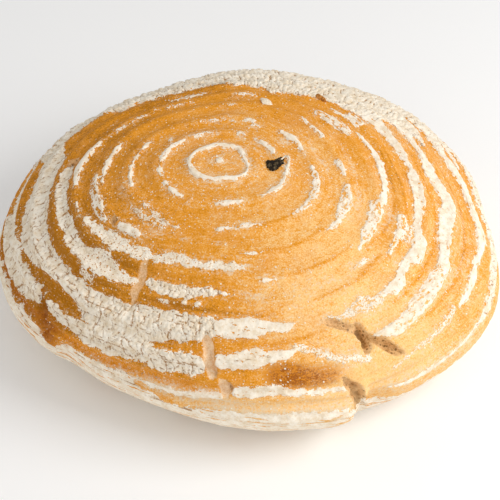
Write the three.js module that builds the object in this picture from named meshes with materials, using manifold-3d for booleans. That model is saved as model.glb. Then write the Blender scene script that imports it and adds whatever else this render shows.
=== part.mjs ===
// A round sourdough loaf, proofed in a coiled cane basket. Sizes are millimetres.
// The flat base lies on z = 0, the crown is up and the front of the loaf faces -Y.
// A place on the crust is given by its azimuth in degrees round the centre of the rings, 0 at +X
// and 90 at +Y, and by its ring number: 0 at that centre and RING_COUNT at the widest line.
import * as THREE from 'three';
import { mergeVertices } from 'three/addons/utils/BufferGeometryUtils.js';
import Module from 'manifold-3d';

const wasm = await Module();
wasm.setup();

// Outline at the widest line: a circle with a few low waves, each with its lobes and its
// cosine and sine height
const GIRTH_RADIUS = 121.8;
const GIRTH_WAVES = [
  { lobes: 2, cosine: 3.9, sine: -0.1 },
  { lobes: 3, cosine: -3.7, sine: -0.9 },
  { lobes: 4, cosine: 0.9, sine: 0.0 },
  { lobes: 5, cosine: -0.4, sine: -0.6 },
  { lobes: 6, cosine: -1.3, sine: -0.5 },
  { lobes: 7, cosine: 0.0, sine: -0.6 },
];
const GIRTH_HEIGHT = 35.8;

// Dome above the widest line, and rounded heel below it
const CROWN_RISE = 57.1;
const CROWN_SLOPE = -0.069;
const SHOULDER_POWER = 2.27;
const CROWN_POWER = 1.503;
const BASE_SHARE = 0.62;
const HEEL_POWER = 1.15;

// Rounding of the widest line, in rings up and down
const RIM_ROUNDING = 2.4;
const RIM_SPREAD = 2.6;
const RIM_SAMPLES = [-1, -0.67, -0.33, 0, 0.33, 0.67, 1];

// Middle of the outline, placed so that the loaf's box is centred on the origin
const BODY_CENTRE = { x: 3.6, y: -0.7 };

// Rings pressed by the basket's cane: where their centre lies, how many reach the widest line,
// how their spacing changes round the loaf and how high the ridges stand
const RING_CENTRE = { x: -11.4, y: -5.2 };
const RING_COUNT = 10.86;
const SPACING = {
  mean: 1.176,
  waves: [[0.177, 0.115], [-0.047, 0.018], [0.008, 0.02]],
};
const SPACING_BOW = -0.037;
const SPACING_SWAY = 0.028;
const RING_DRIFT = { x: 2.2, y: -3.0 };
const RIDGE_HEIGHT = 1.15;
const RIDGE_SHARPNESS = 1.6;
const RIDGE_SINK = 0.35;
const RIDGE_START = [0.3, 0.8];
const RIDGE_END = [RING_COUNT - 0.3, RING_COUNT + 1.2];
const SMOOTH_PATCH = { azimuth: -50, ring: 4.6, wide: 38, deep: 2.8, left: 0.3 };

// How far the outer ridges stray from true rings, in rings, at azimuths round the loaf
const RING_WAVE = [
  [-180, 0.05], [-150, 0.5], [-128, 0.8], [-105, 0.55], [-88, 0.2], [-75, 0.1], [-60, 0.45],
  [-42, 0.1], [-18, -0.45], [0, -0.15], [25, -0.4], [60, -0.4], [120, -0.2], [180, 0.05],
];
const WAVE_FROM_RING = 3.5;
const WAVE_FULL_RING = 8;

// Places where the side swells or is drawn in: the middle, how far each reaches before and after
// it round the loaf, in degrees, how far up and down, in rings, and how far it stands out
const SWELLS = [
  { azimuth: -57, before: 1.5, after: 6, ring: 13.2, deep: 2.4, push: -9 },
  { azimuth: -42, before: 9, after: 9, ring: 13.2, deep: 2.4, push: -1.2 },
  { azimuth: -65, before: 6, after: 3, ring: 13.6, deep: 2.2, push: 2.4 },
  { azimuth: -140, before: 4, after: 9, ring: 13.0, deep: 2.2, push: -4.4 },
  { azimuth: 138, before: 4, after: 4, ring: 8.2, deep: 0.7, push: -2.4 },
  { azimuth: 20, before: 8, after: 7, ring: 10.2, deep: 1.3, push: 2.4 },
];

// Tears and grooves in the crust: the path, the half width and the depth
const TEARS = [
  { path: [[-64, 6.9], [-59, 7.45], [-55, 8.15], [-51.5, 8.75], [-48, 9.2]], half: 4.2, depth: 6.5 },
  { path: [[-63.5, 9.0], [-61.5, 10.4], [-59.5, 12.2], [-58.5, 14.2], [-58, 16.5]], half: 4.6, depth: 7.5 },
  { path: [[-97.5, 7.45], [-95.5, 8.3], [-93.5, 9.25]], half: 3.4, depth: 3.6 },
  { path: [[-92, 9.1], [-91, 9.6], [-90.5, 10.2]], half: 3.2, depth: 3.2 },
  { path: [[-127.5, 5.1], [-125.5, 6.2], [-124, 7.2], [-122, 8.3]], half: 3.0, depth: 1.6 },
  { path: [[-151, 8.2], [-147.5, 9.3], [-145, 10.4], [-143, 12.4]], half: 3.0, depth: 5.0 },
  { path: [[-153.5, 3.95], [-151, 4.2]], half: 1.8, depth: 2.6 },
  { path: [[166, 5.6], [170, 5.75]], half: 2.6, depth: 3.4 },
];
const TEAR_LIP = 4;
const TEAR_SIDES = 6;
const TEAR_STEPS = 8;

// Bits baked onto the crust: a charred flake, a lump of flour and a lump of crust
const BITS = [
  { azimuth: -14, ring: 1.6, turn: 42, long: 5.6, wide: 3.4, thick: 1.5, rough: 0.24 },
  { azimuth: -2, ring: 1.95, turn: 62, long: 2.2, wide: 1.0, thick: 2.0, rough: 0.1 },
  { azimuth: 74.5, ring: 4.4, turn: -30, long: 2.9, wide: 2.2, thick: 1.9, rough: 0.2 },
  { azimuth: 56.5, ring: 5.65, turn: 20, long: 3.4, wide: 2.4, thick: 2.2, rough: 0.2 },
];

// Fineness of the skin
const AZIMUTH_STEPS = 94;
const STEPS_PER_RING = 4;
const HEEL_STEPS = 8;
const HEEL_CROWDING = 1.35;

const OUTLINE_PASSES = 12;
const NORMAL_STEP = { degrees: 0.5, ring: 0.05, from: 0.2 };
const FLAT_FADE = 12;
const BIT_SINK = 0.35;
const TEAR_FULLNESS = 0.6;
const WELD = 1e-4;

const CRUST_COLOUR = 0xe29a3c;

const radians = THREE.MathUtils.degToRad;
const smooth = THREE.MathUtils.smoothstep;

// Distance from the body's middle to the outline at an angle in radians
function girthRadius(angle) {
  return GIRTH_WAVES.reduce(
    (sum, { lobes, cosine, sine }) => sum
      + cosine * Math.cos(lobes * angle) + sine * Math.sin(lobes * angle),
    GIRTH_RADIUS,
  );
}

// Distance from the centre of the rings to the outline along an azimuth in radians
function ringReach(azimuth) {
  const along = RING_CENTRE.x * Math.cos(azimuth) + RING_CENTRE.y * Math.sin(azimuth);
  const offsetSquared = RING_CENTRE.x ** 2 + RING_CENTRE.y ** 2;
  let reach = GIRTH_RADIUS;
  for (let pass = 0; pass < OUTLINE_PASSES; pass += 1) {
    const x = RING_CENTRE.x + reach * Math.cos(azimuth);
    const y = RING_CENTRE.y + reach * Math.sin(azimuth);
    const radius = girthRadius(Math.atan2(y, x));
    reach = -along + Math.sqrt(along ** 2 - offsetSquared + radius ** 2);
  }
  return reach;
}

// Power that crowds or spreads the rings along an azimuth in radians
function spacingPower(azimuth) {
  return SPACING.waves.reduce(
    (sum, [cosine, sine], index) => sum
      + cosine * Math.cos((index + 1) * azimuth) + sine * Math.sin((index + 1) * azimuth),
    SPACING.mean,
  );
}

// Point of the dome or heel before the widest line is rounded, in the body's own coordinates
function sharpPoint(degrees, ring) {
  const azimuth = radians(degrees);
  const reach = ringReach(azimuth);
  const share = ring / RING_COUNT;
  if (share >= 1) {
    const turn = Math.min(share - 1, 1) * Math.PI / 2;
    const scale = BASE_SHARE + (1 - BASE_SHARE) * Math.max(Math.cos(turn), 0) ** HEEL_POWER;
    return new THREE.Vector3(
      (RING_CENTRE.x + reach * Math.cos(azimuth)) * scale,
      (RING_CENTRE.y + reach * Math.sin(azimuth)) * scale,
      GIRTH_HEIGHT * (1 - Math.sin(turn) ** HEEL_POWER),
    );
  }
  const bow = SPACING_BOW * Math.sin(Math.PI * share);
  const even = share + bow + SPACING_SWAY * Math.sin(2 * Math.PI * share);
  const out = Math.sin(Math.PI / 2 * Math.max(even, 0) ** spacingPower(azimuth));
  const drift = 4 * out * (1 - out);
  const x = RING_CENTRE.x + reach * out * Math.cos(azimuth) + drift * RING_DRIFT.x;
  const y = RING_CENTRE.y + reach * out * Math.sin(azimuth) + drift * RING_DRIFT.y;
  const edge = Math.min(Math.hypot(x, y) / girthRadius(Math.atan2(y, x)), 1);
  const rise = (CROWN_RISE + CROWN_SLOPE * x) * (1 - edge ** SHOULDER_POWER) ** (1 / CROWN_POWER);
  return new THREE.Vector3(x, y, GIRTH_HEIGHT + rise);
}

// Point of the plain surface, without ridges: the profile averaged a little way up and down, most
// at the widest line
function plainPoint(degrees, ring) {
  const reach = RIM_ROUNDING * Math.exp(-(((ring - RING_COUNT) / RIM_SPREAD) ** 2));
  const sum = new THREE.Vector3();
  RIM_SAMPLES.forEach((share) => sum.add(sharpPoint(degrees, ring + share * reach)));
  return sum.divideScalar(RIM_SAMPLES.length);
}

// Outward direction of the plain surface
function plainNormal(degrees, ring) {
  const at = Math.max(ring, NORMAL_STEP.from);
  const before = plainPoint(degrees - NORMAL_STEP.degrees, at);
  const alongRing = plainPoint(degrees + NORMAL_STEP.degrees, at).sub(before);
  const above = plainPoint(degrees, at - NORMAL_STEP.ring);
  const downwards = plainPoint(degrees, at + NORMAL_STEP.ring).sub(above);
  return downwards.cross(alongRing).normalize();
}

// Height along a list of [place, value] knots, eased between them
function eased(knots, place) {
  const next = Math.max(knots.findIndex(([at]) => at >= place), 1);
  const [fromAt, fromValue] = knots[next - 1];
  const [toAt, toValue] = knots[next];
  return fromValue + (toValue - fromValue) * smooth(place, fromAt, toAt);
}

// The same azimuth between -180 and 180 degrees
function wrapped(degrees) {
  return THREE.MathUtils.euclideanModulo(degrees + 180, 360) - 180;
}

// Height of the basket ridges, low on the smooth patch and gone below the widest line
function ridgeRelief(degrees, ring) {
  const wave = eased(RING_WAVE, wrapped(degrees)) * smooth(ring, WAVE_FROM_RING, WAVE_FULL_RING);
  const crest = (0.5 + 0.5 * Math.cos(2 * Math.PI * (ring - wave))) ** RIDGE_SHARPNESS;
  const across = wrapped(degrees - SMOOTH_PATCH.azimuth) / SMOOTH_PATCH.wide;
  const along = (ring - SMOOTH_PATCH.ring) / SMOOTH_PATCH.deep;
  const worn = Math.exp(-(across ** 2) - along ** 2) * (1 - SMOOTH_PATCH.left);
  const fade = smooth(ring, ...RIDGE_START) * (1 - smooth(ring, ...RIDGE_END));
  return RIDGE_HEIGHT * (crest - RIDGE_SINK) * (1 - worn) * fade;
}

// How far the side stands out or in at the swells
function swellPush(degrees, ring) {
  return SWELLS.reduce((sum, { azimuth, before, after, ring: middle, deep, push }) => {
    const turn = wrapped(degrees - azimuth);
    const across = turn / (turn < 0 ? before : after);
    const upright = (ring - middle) / deep;
    return sum + push * Math.exp(-(across ** 2) - upright ** 2);
  }, 0);
}

// Point of the finished skin. The flat base keeps its height.
function skinPoint(degrees, ring) {
  const point = plainPoint(degrees, ring);
  const normal = plainNormal(degrees, ring);
  point.addScaledVector(normal, ridgeRelief(degrees, ring));
  const aboveBase = smooth(point.z, 0, FLAT_FADE);
  const push = swellPush(degrees, ring) * aboveBase;
  point.addScaledVector(new THREE.Vector3(normal.x, normal.y, 0), push);
  point.x += BODY_CENTRE.x;
  point.y += BODY_CENTRE.y;
  return point;
}

// Geometry from points and triangles
function geometryOf(points, triangles) {
  const geometry = new THREE.BufferGeometry();
  const places = points.flatMap((point) => [point.x, point.y, point.z]);
  geometry.setAttribute('position', new THREE.Float32BufferAttribute(places, 3));
  geometry.setIndex(triangles.flat());
  return geometry;
}

// Rows of points, each a closed loop, joined into a skin and closed by one point at each end
function closedSkin(rows, firstPoint, lastPoint) {
  const count = rows[0].length;
  const points = [...rows.flat(), firstPoint, lastPoint];
  const first = points.length - 2;
  const last = points.length - 1;
  const lastRow = (rows.length - 1) * count;
  const triangles = [];
  for (let step = 0; step < count; step += 1) {
    const next = (step + 1) % count;
    triangles.push([first, step, next], [last, lastRow + next, lastRow + step]);
    for (let row = 0; row < rows.length - 1; row += 1) {
      const upper = row * count;
      const lower = upper + count;
      triangles.push([upper + step, lower + step, lower + next]);
      triangles.push([upper + step, lower + next, upper + next]);
    }
  }
  return geometryOf(points, triangles);
}

// The whole loaf without its tears
function bodyGeometry() {
  const domeSteps = Math.round(RING_COUNT * STEPS_PER_RING);
  const ringNumbers = [
    ...Array.from({ length: domeSteps }, (_, step) => (step + 1) / domeSteps * RING_COUNT),
    ...Array.from(
      { length: HEEL_STEPS },
      (_, step) => RING_COUNT * (1 + ((step + 1) / HEEL_STEPS) ** HEEL_CROWDING),
    ),
  ];
  const rows = ringNumbers.map((ring) => Array.from(
    { length: AZIMUTH_STEPS },
    (_, step) => skinPoint(step / AZIMUTH_STEPS * 360 - 180, ring),
  ));
  rows.at(-1).forEach((point) => { point.z = 0; });
  const middle = new THREE.Vector3(BODY_CENTRE.x, BODY_CENTRE.y, 0);
  return closedSkin(rows, skinPoint(0, 0), middle);
}

// A boat-shaped body along a path on the crust, deepest in the middle and pointed at both ends
function boatGeometry({ path, half, depth }) {
  const curve = new THREE.CatmullRomCurve3(path.map(([degrees, ring]) => skinPoint(degrees, ring)));
  const normals = path.map(([degrees, ring]) => plainNormal(degrees, ring));
  const normalAt = (share) => {
    const place = share * (normals.length - 1);
    const index = Math.min(Math.floor(place), normals.length - 2);
    return normals[index].clone().lerp(normals[index + 1], place - index).normalize();
  };
  const rows = Array.from({ length: TEAR_STEPS - 1 }, (_, step) => {
    const share = (step + 1) / TEAR_STEPS;
    const middle = curve.getPoint(share);
    const normal = normalAt(share);
    const side = curve.getTangent(share).cross(normal).normalize();
    const fullness = Math.sin(Math.PI * share) ** TEAR_FULLNESS;
    return Array.from({ length: TEAR_SIDES }, (_, corner) => {
      const angle = (corner + 0.5) / TEAR_SIDES * 2 * Math.PI;
      const height = Math.sin(angle) * (Math.sin(angle) > 0 ? TEAR_LIP : depth);
      return middle.clone()
        .addScaledVector(side, half * fullness * Math.cos(angle))
        .addScaledVector(normal, height * fullness);
    });
  });
  return closedSkin(rows, curve.getPoint(0), curve.getPoint(1));
}

// A small lumpy bit, half sunk in the crust
function bitGeometry({ azimuth, ring, turn, long, wide, thick, rough }) {
  const geometry = new THREE.IcosahedronGeometry(1, 1);
  const places = geometry.attributes.position;
  for (let index = 0; index < places.count; index += 1) {
    const point = new THREE.Vector3().fromBufferAttribute(places, index);
    const wave = Math.sin(5 * point.x + 2 * point.y) + Math.sin(4 * point.y - 3 * point.z + 1);
    point.multiplyScalar(1 + rough * wave / 2);
    places.setXYZ(index, point.x, point.y, point.z);
  }
  const normal = plainNormal(azimuth, ring);
  const upright = new THREE.Quaternion().setFromUnitVectors(new THREE.Vector3(0, 0, 1), normal);
  const turned = new THREE.Quaternion().setFromAxisAngle(new THREE.Vector3(0, 0, 1), radians(turn));
  geometry.applyMatrix4(new THREE.Matrix4().compose(
    skinPoint(azimuth, ring).addScaledVector(normal, thick * BIT_SINK),
    upright.multiply(turned),
    new THREE.Vector3(long, wide, thick),
  ));
  return geometry;
}

// Solid for joining and cutting, from a closed geometry
function solidOf(geometry) {
  const bare = geometry.clone();
  bare.deleteAttribute('normal');
  bare.deleteAttribute('uv');
  const merged = mergeVertices(bare, WELD);
  return new wasm.Manifold(new wasm.Mesh({
    numProp: 3,
    vertProperties: new Float32Array(merged.attributes.position.array),
    triVerts: new Uint32Array(merged.index.array),
  }));
}

// Geometry of a finished solid
function geometryOfSolid(solid) {
  const mesh = solid.getMesh();
  const geometry = new THREE.BufferGeometry();
  geometry.setAttribute('position', new THREE.BufferAttribute(new Float32Array(mesh.vertProperties), 3));
  geometry.setIndex(new THREE.BufferAttribute(new Uint32Array(mesh.triVerts), 1));
  return mergeVertices(geometry, WELD);
}

const whole = BITS.reduce((solid, bit) => solid.add(solidOf(bitGeometry(bit))), solidOf(bodyGeometry()));
const torn = TEARS.reduce((solid, tear) => solid.subtract(solidOf(boatGeometry(tear))), whole);
const loafGeometry = geometryOfSolid(torn);
loafGeometry.computeVertexNormals();

const crust = new THREE.MeshStandardMaterial({ color: CRUST_COLOUR, roughness: 0.8, metalness: 0 });
const loaf = new THREE.Mesh(loafGeometry, crust);
loaf.name = 'loaf';

const model = new THREE.Group();
model.add(loaf);

export default model;
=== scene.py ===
"""Looks of a round sourdough loaf: crust, flour, tears and baked-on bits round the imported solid.

A place on the crust is an azimuth in degrees round the centre of the rings, 0 at +X, 90 at +Y and
-90 at the front, and a ring number, 0 at that centre and RING_COUNT at the widest line. Lengths
are millimetres until a mesh is made, which is in metres.
"""
from __future__ import annotations

import logging
import math
from dataclasses import dataclass, field
from enum import Enum
from typing import Any, Callable

import bpy
import numpy as np
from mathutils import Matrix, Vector

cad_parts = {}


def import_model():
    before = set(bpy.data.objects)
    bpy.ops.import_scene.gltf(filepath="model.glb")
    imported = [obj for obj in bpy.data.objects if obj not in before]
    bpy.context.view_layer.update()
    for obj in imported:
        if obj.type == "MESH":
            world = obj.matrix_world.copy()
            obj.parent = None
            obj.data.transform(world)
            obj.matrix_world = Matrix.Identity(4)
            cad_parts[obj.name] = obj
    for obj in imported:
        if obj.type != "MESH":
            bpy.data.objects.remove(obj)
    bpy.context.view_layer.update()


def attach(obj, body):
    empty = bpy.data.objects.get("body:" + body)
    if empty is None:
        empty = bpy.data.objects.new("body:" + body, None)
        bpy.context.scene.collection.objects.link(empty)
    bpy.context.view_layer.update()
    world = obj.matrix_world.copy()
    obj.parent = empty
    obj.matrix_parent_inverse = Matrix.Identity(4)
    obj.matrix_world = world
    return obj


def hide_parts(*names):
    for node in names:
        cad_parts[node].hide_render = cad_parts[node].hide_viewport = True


LOG = logging.getLogger("loaf")
METRES = 0.001
RING_COUNT = 10.86
LAST_RING = 2 * RING_COUNT
RIM = 10
BACK = 11
HEEL = 12
CROWN_RINGS = range(1, 10)
FAR_FROM_CRACK = 3.0
CELL_TABLE = (128, 64)
CELL_SEED = 5
FAR_CELL = 9.0
SHOWN = ("margin", "crack", "wear", "powder", "bake", "toast", "haze", "crumb", "raw_and_wall_shade", "hollow", "out")
Array = np.ndarray
Path = tuple[tuple[float, float], ...]
Knots = tuple[tuple[float, float, float], ...]
Triple = tuple[float, float, float]


# Curves, noise and colours

def smooth(value: Array, low: float | Array, high: float | Array) -> Array:
    """Ease a value from 0 to 1.

    Args:
        value: What is eased.
        low: Where the step starts.
        high: Where the step is complete.

    Returns:
        0 below low, 1 above high and an eased share between them.
    """
    share = np.clip((value - low) / (high - low), 0.0, 1.0)
    return share * share * (3.0 - 2.0 * share)


def wrapped(degrees: Array | float) -> Array:
    """Return the same azimuth between -180 and 180 degrees."""
    return (np.asarray(degrees, float) + 180.0) % 360.0 - 180.0


def srgb(red: float, green: float, blue: float) -> tuple[float, float, float]:
    """Return the linear colour of display values from 0 to 255."""
    parts = (red / 255.0, green / 255.0, blue / 255.0)
    return tuple(p / 12.92 if p <= 0.04045 else ((p + 0.055) / 1.055) ** 2.4 for p in parts)


def eased_wave(places: Array, values: Array, at: Array) -> Array:
    """Follow a line of places and values with eased steps between them.

    Args:
        places: Rising places of the knots.
        values: Values at the knots.
        at: Where the line is read.

    Returns:
        The value at each place.
    """
    index = np.clip(np.searchsorted(places, at), 1, len(places) - 1)
    share = (at - places[index - 1]) / (places[index] - places[index - 1])
    return values[index - 1] + (values[index] - values[index - 1]) * smooth(share, 0.0, 1.0)


@dataclass
class ValueNoise:
    """Seeded smooth noise in space, between -1 and 1."""

    seed: int
    size: int = 64
    lattice: Array = field(init=False)

    def __post_init__(self) -> None:
        """Draw the lattice."""
        self.lattice = np.random.default_rng(self.seed).uniform(-1.0, 1.0, (self.size,) * 3)

    def one(self, points: Array, wavelength: float) -> Array:
        """Read one octave of the noise.

        Args:
            points: Places in millimetres, one row each.
            wavelength: Distance between lattice points in millimetres.

        Returns:
            One value for each place.
        """
        scaled = points / wavelength
        cell = np.floor(scaled).astype(int)
        part = scaled - cell
        part = part * part * (3.0 - 2.0 * part)
        total = np.zeros(len(points))
        for corner in range(8):
            step = np.array([corner & 1, corner >> 1 & 1, corner >> 2 & 1])
            at = (cell + step) % self.size
            share = np.where(step, part, 1.0 - part).prod(axis=1)
            total += share * self.lattice[at[:, 0], at[:, 1], at[:, 2]]
        return total

    def many(self, points: Array, wavelength: float, octaves: int = 3) -> Array:
        """Add octaves, each half as long and half as strong as the one before.

        Args:
            points: Places in millimetres, one row each.
            wavelength: Wavelength of the longest octave in millimetres.
            octaves: How many octaves are added.

        Returns:
            One value for each place.
        """
        return sum(
            self.one(points + 17.3 * index, wavelength / 2**index) / 2**index
            for index in range(octaves)
        ) / 1.4


# Form of the loaf

@dataclass(frozen=True)
class Swell:
    """A local push of the side of the loaf: place, spread each way and size."""

    azimuth: float
    before: float
    after: float
    ring: float
    deep: float
    push: float


@dataclass(frozen=True)
class Tear:
    """A hollow torn into the crust along a path of places."""

    path: Path
    half: float
    depth: float
    # How raw the torn inside looks; on the grooves' right walls the darker raw crumb is painted shade.
    raw_and_wall_shade: float = 1.0
    fullness: float = 0.5
    wobble: float = 0.3
    shown: float = 1.0


@dataclass
class LoafForm:
    """Form of the loaf's skin with its ridges and swells."""

    girth_radius: float = 121.8
    girth_waves: tuple = (
        (2, 3.9, -0.1), (3, -3.7, -0.9), (4, 0.9, 0.0), (5, -0.4, -0.6), (6, -1.3, -0.5), (7, 0.0, -0.6),
    )
    girth_height: float = 35.8
    crown_rise: float = 57.1
    crown_slope: float = -0.069
    shoulder_power: float = 2.27
    crown_power: float = 1.503
    base_share: float = 0.62
    heel_power: float = 1.15
    rim_rounding: float = 2.4
    rim_spread: float = 2.6
    rim_samples: tuple = (-1, -0.67, -0.33, 0, 0.33, 0.67, 1)
    body_centre: tuple = (3.6, -0.7)
    ring_centre: tuple = (-11.4, -5.2)
    spacing_mean: float = 1.176
    spacing_waves: tuple = ((0.177, 0.115), (-0.047, 0.018), (0.008, 0.02))
    spacing_bow: float = -0.037
    spacing_sway: float = 0.028
    ring_drift: tuple = (2.2, -3.0)
    ridge_height: float = 1.15
    ridge_sharpness: float = 1.6
    ridge_sink: float = 0.35
    smooth_patch: tuple = (-50, 4.6, 38, 2.8, 0.3)
    ridge_boost: tuple = (-150, 55, 0.9, 0.25)
    ring_wave: tuple = (
        (-180, 0.05), (-150, 0.5), (-128, 0.8), (-105, 0.55), (-88, 0.2), (-75, 0.1), (-60, 0.45),
        (-42, 0.1), (-18, -0.45), (0, -0.15), (25, -0.4), (60, -0.4), (120, -0.2), (180, 0.05),
    )
    swells: tuple = (
        Swell(-57, 1.5, 6, 13.2, 2.4, -9), Swell(-42, 9, 9, 13.2, 2.4, -1.2),
        Swell(-65, 6, 3, 13.6, 2.2, 2.4), Swell(-140, 4, 9, 13.0, 2.2, -4.4),
        Swell(138, 4, 4, 8.2, 0.7, -2.4), Swell(20, 8, 7, 10.2, 1.3, 2.4),
    )
    columns: int = 720
    row_step: float = 0.1
    places: Array = field(init=False)
    normals: Array = field(init=False)
    turns: Array = field(init=False)
    reach: Array = field(init=False)

    def __post_init__(self) -> None:
        """Measure the reach of the rings, then tabulate the plain skin and its normals."""
        turns = np.radians(np.arange(-181, 182, 0.5))
        cx, cy = self.ring_centre
        along = cx * np.cos(turns) + cy * np.sin(turns)
        reach = np.full_like(turns, self.girth_radius)
        for _ in range(12):
            angle = np.arctan2(cy + reach * np.sin(turns), cx + reach * np.cos(turns))
            reach = -along + np.sqrt(along**2 - cx**2 - cy**2 + self.girth(angle) ** 2)
        self.turns = turns
        self.reach = reach
        rows = int(round(LAST_RING / self.row_step)) + 1
        degrees, ring = np.meshgrid(
            np.arange(self.columns) * 360.0 / self.columns - 180.0,
            np.linspace(0.0, LAST_RING, rows),
        )
        self.row_step = LAST_RING / (rows - 1)
        spread = self.rim_rounding * np.exp(-(((ring - RING_COUNT) / self.rim_spread) ** 2))
        samples = [self.sharp(degrees, ring + share * spread) for share in self.rim_samples]
        self.places = sum(samples) / len(samples)
        around = np.roll(self.places, -1, axis=1) - np.roll(self.places, 1, axis=1)
        down = np.gradient(self.places, axis=0)
        normals = np.cross(down, around)
        normals /= np.linalg.norm(normals, axis=-1, keepdims=True) + 1e-12
        normals[:2] = normals[2].mean(axis=0) / np.linalg.norm(normals[2].mean(axis=0))
        self.normals = normals

    def girth(self, angle: Array) -> Array:
        """Measure the widest line of the loaf.

        Args:
            angle: Angles round the body centre in radians.

        Returns:
            Millimetres from the body centre.
        """
        total = np.full_like(angle, self.girth_radius)
        for lobes, cosine, sine in self.girth_waves:
            total += cosine * np.cos(lobes * angle) + sine * np.sin(lobes * angle)
        return total

    def sharp(self, degrees: Array, ring: Array) -> Array:
        """Place points on the plain skin before its widest line is rounded.

        Args:
            degrees: Azimuths.
            ring: Ring numbers.

        Returns:
            Points round the body centre, in millimetres.
        """
        azimuth = np.radians(wrapped(degrees))
        cx, cy = self.ring_centre
        reach = np.interp(azimuth, self.turns, self.reach)
        share = ring / RING_COUNT
        turn = np.clip(share - 1, 0, 1) * np.pi / 2
        scale = self.base_share + (1 - self.base_share) * np.maximum(np.cos(turn), 0) ** self.heel_power
        low_x = (cx + reach * np.cos(azimuth)) * scale
        low_y = (cy + reach * np.sin(azimuth)) * scale
        low_z = self.girth_height * (1 - np.sin(turn) ** self.heel_power)
        part = np.clip(share, 0, 1)
        even = part + self.spacing_bow * np.sin(np.pi * part) + self.spacing_sway * np.sin(2 * np.pi * part)
        power = np.full_like(azimuth, self.spacing_mean)
        for lobes, (cosine, sine) in enumerate(self.spacing_waves, 1):
            power += cosine * np.cos(lobes * azimuth) + sine * np.sin(lobes * azimuth)
        out = np.sin(np.pi / 2 * np.maximum(even, 0) ** power)
        drift = 4 * out * (1 - out)
        x = cx + reach * out * np.cos(azimuth) + drift * self.ring_drift[0]
        y = cy + reach * out * np.sin(azimuth) + drift * self.ring_drift[1]
        edge = np.minimum(np.hypot(x, y) / self.girth(np.arctan2(y, x)), 1)
        rise = self.crown_rise + self.crown_slope * x
        z = self.girth_height + rise * (1 - edge**self.shoulder_power) ** (1 / self.crown_power)
        low = share >= 1
        return np.stack([np.where(low, low_x, x), np.where(low, low_y, y), np.where(low, low_z, z)], -1)

    def read(self, table: Array, degrees: Array, ring: Array) -> Array:
        """Read a table of the skin between its rows and columns.

        Args:
            table: Places or normals.
            degrees: Azimuths.
            ring: Ring numbers.

        Returns:
            One vector for each place.
        """
        across = (wrapped(degrees) + 180.0) * self.columns / 360.0
        down = np.clip(ring / self.row_step, 0, len(table) - 1)
        column = np.floor(across).astype(int)
        row = np.minimum(np.floor(down).astype(int), len(table) - 2)
        total = 0.0
        for step_row, weight_row in enumerate(self.weights(down - row), -1):
            at_row = np.clip(row + step_row, 0, len(table) - 1)
            for step_column, weight_column in enumerate(self.weights(across - column), -1):
                at_column = (column + step_column) % self.columns
                total = total + (weight_row * weight_column)[:, None] * table[at_row, at_column]
        return total

    @staticmethod
    def weights(part: Array) -> tuple[Array, ...]:
        """Weigh four neighbours along a smooth curve.

        Args:
            part: How far each place is between its middle two neighbours, from 0 to 1.

        Returns:
            The weights of the four neighbours, in order.
        """
        return (
            ((-0.5 * part + 1.0) * part - 0.5) * part,
            (1.5 * part - 2.5) * part * part + 1.0,
            ((-1.5 * part + 2.0) * part + 0.5) * part,
            (0.5 * part - 0.5) * part * part,
        )

    def ridge(self, degrees: Array, ring: Array) -> Array:
        """Work out the height of the cane's ridges.

        Args:
            degrees: Azimuths.
            ring: Ring numbers.

        Returns:
            Millimetres above the plain skin.
        """
        places, values = np.array(self.ring_wave, float).T
        wave = eased_wave(places, values, wrapped(degrees)) * smooth(ring, 3.5, 8)
        crest = (0.5 + 0.5 * np.cos(2 * np.pi * (ring - wave))) ** self.ridge_sharpness
        azimuth, middle, wide, deep, left = self.smooth_patch
        near = -((wrapped(degrees - azimuth) / wide) ** 2) - ((ring - middle) / deep) ** 2
        worn = np.exp(near) * (1 - left)
        fade = smooth(ring, 0.3, 0.8) * (1 - smooth(ring, RING_COUNT - 0.3, RING_COUNT + 1.2))
        place, reach, gain, everywhere = self.ridge_boost
        beside = np.exp(-((wrapped(degrees - place) / reach) ** 2))
        boost = 1 + (gain * beside + everywhere) * smooth(ring, 4, 6)
        return self.ridge_height * boost * (crest - self.ridge_sink) * (1 - worn) * fade

    def swell(self, degrees: Array, ring: Array) -> Array:
        """Add up the push of the swells.

        Args:
            degrees: Azimuths.
            ring: Ring numbers.

        Returns:
            Millimetres outwards.
        """
        total = np.zeros_like(ring, dtype=float)
        for one in self.swells:
            turn = wrapped(degrees - one.azimuth)
            across = turn / np.where(turn < 0, one.before, one.after)
            total += one.push * np.exp(-(across**2) - ((ring - one.ring) / one.deep) ** 2)
        return total

    def skin(self, degrees: Array, ring: Array) -> tuple[Array, Array]:
        """Find the ridged skin.

        Args:
            degrees: Azimuths, one for each place.
            ring: Ring numbers, one for each place.

        Returns:
            Points in the loaf's frame and outward normals of the plain skin.
        """
        degrees, ring = (np.ascontiguousarray(a, dtype=float) for a in np.broadcast_arrays(degrees, ring))
        point = self.read(self.places, degrees, ring)
        normal = self.read(self.normals, degrees, ring)
        normal /= np.linalg.norm(normal, axis=-1, keepdims=True)
        point = point + normal * self.ridge(degrees, ring)[:, None]
        push = self.swell(degrees, ring) * smooth(point[:, 2], 0, 12)
        point = point + normal * np.array([1.0, 1.0, 0.0]) * push[:, None]
        return point + np.array([*self.body_centre, 0.0]), normal

    def spacing(self, degrees: Array, ring: Array) -> tuple[Array, Array]:
        """Measure the skin at places.

        Args:
            degrees: Azimuths.
            ring: Ring numbers.

        Returns:
            Millimetres for one ring outwards, and for one degree round.
        """
        step = 0.1
        out = self.read(self.places, degrees, ring + step) - self.read(self.places, degrees, ring - step)
        side = self.read(self.places, degrees + 0.5, ring) - self.read(self.places, degrees - 0.5, ring)
        return np.linalg.norm(out, axis=-1) / (2 * step), np.linalg.norm(side, axis=-1)


# Where the flour lies and how

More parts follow.
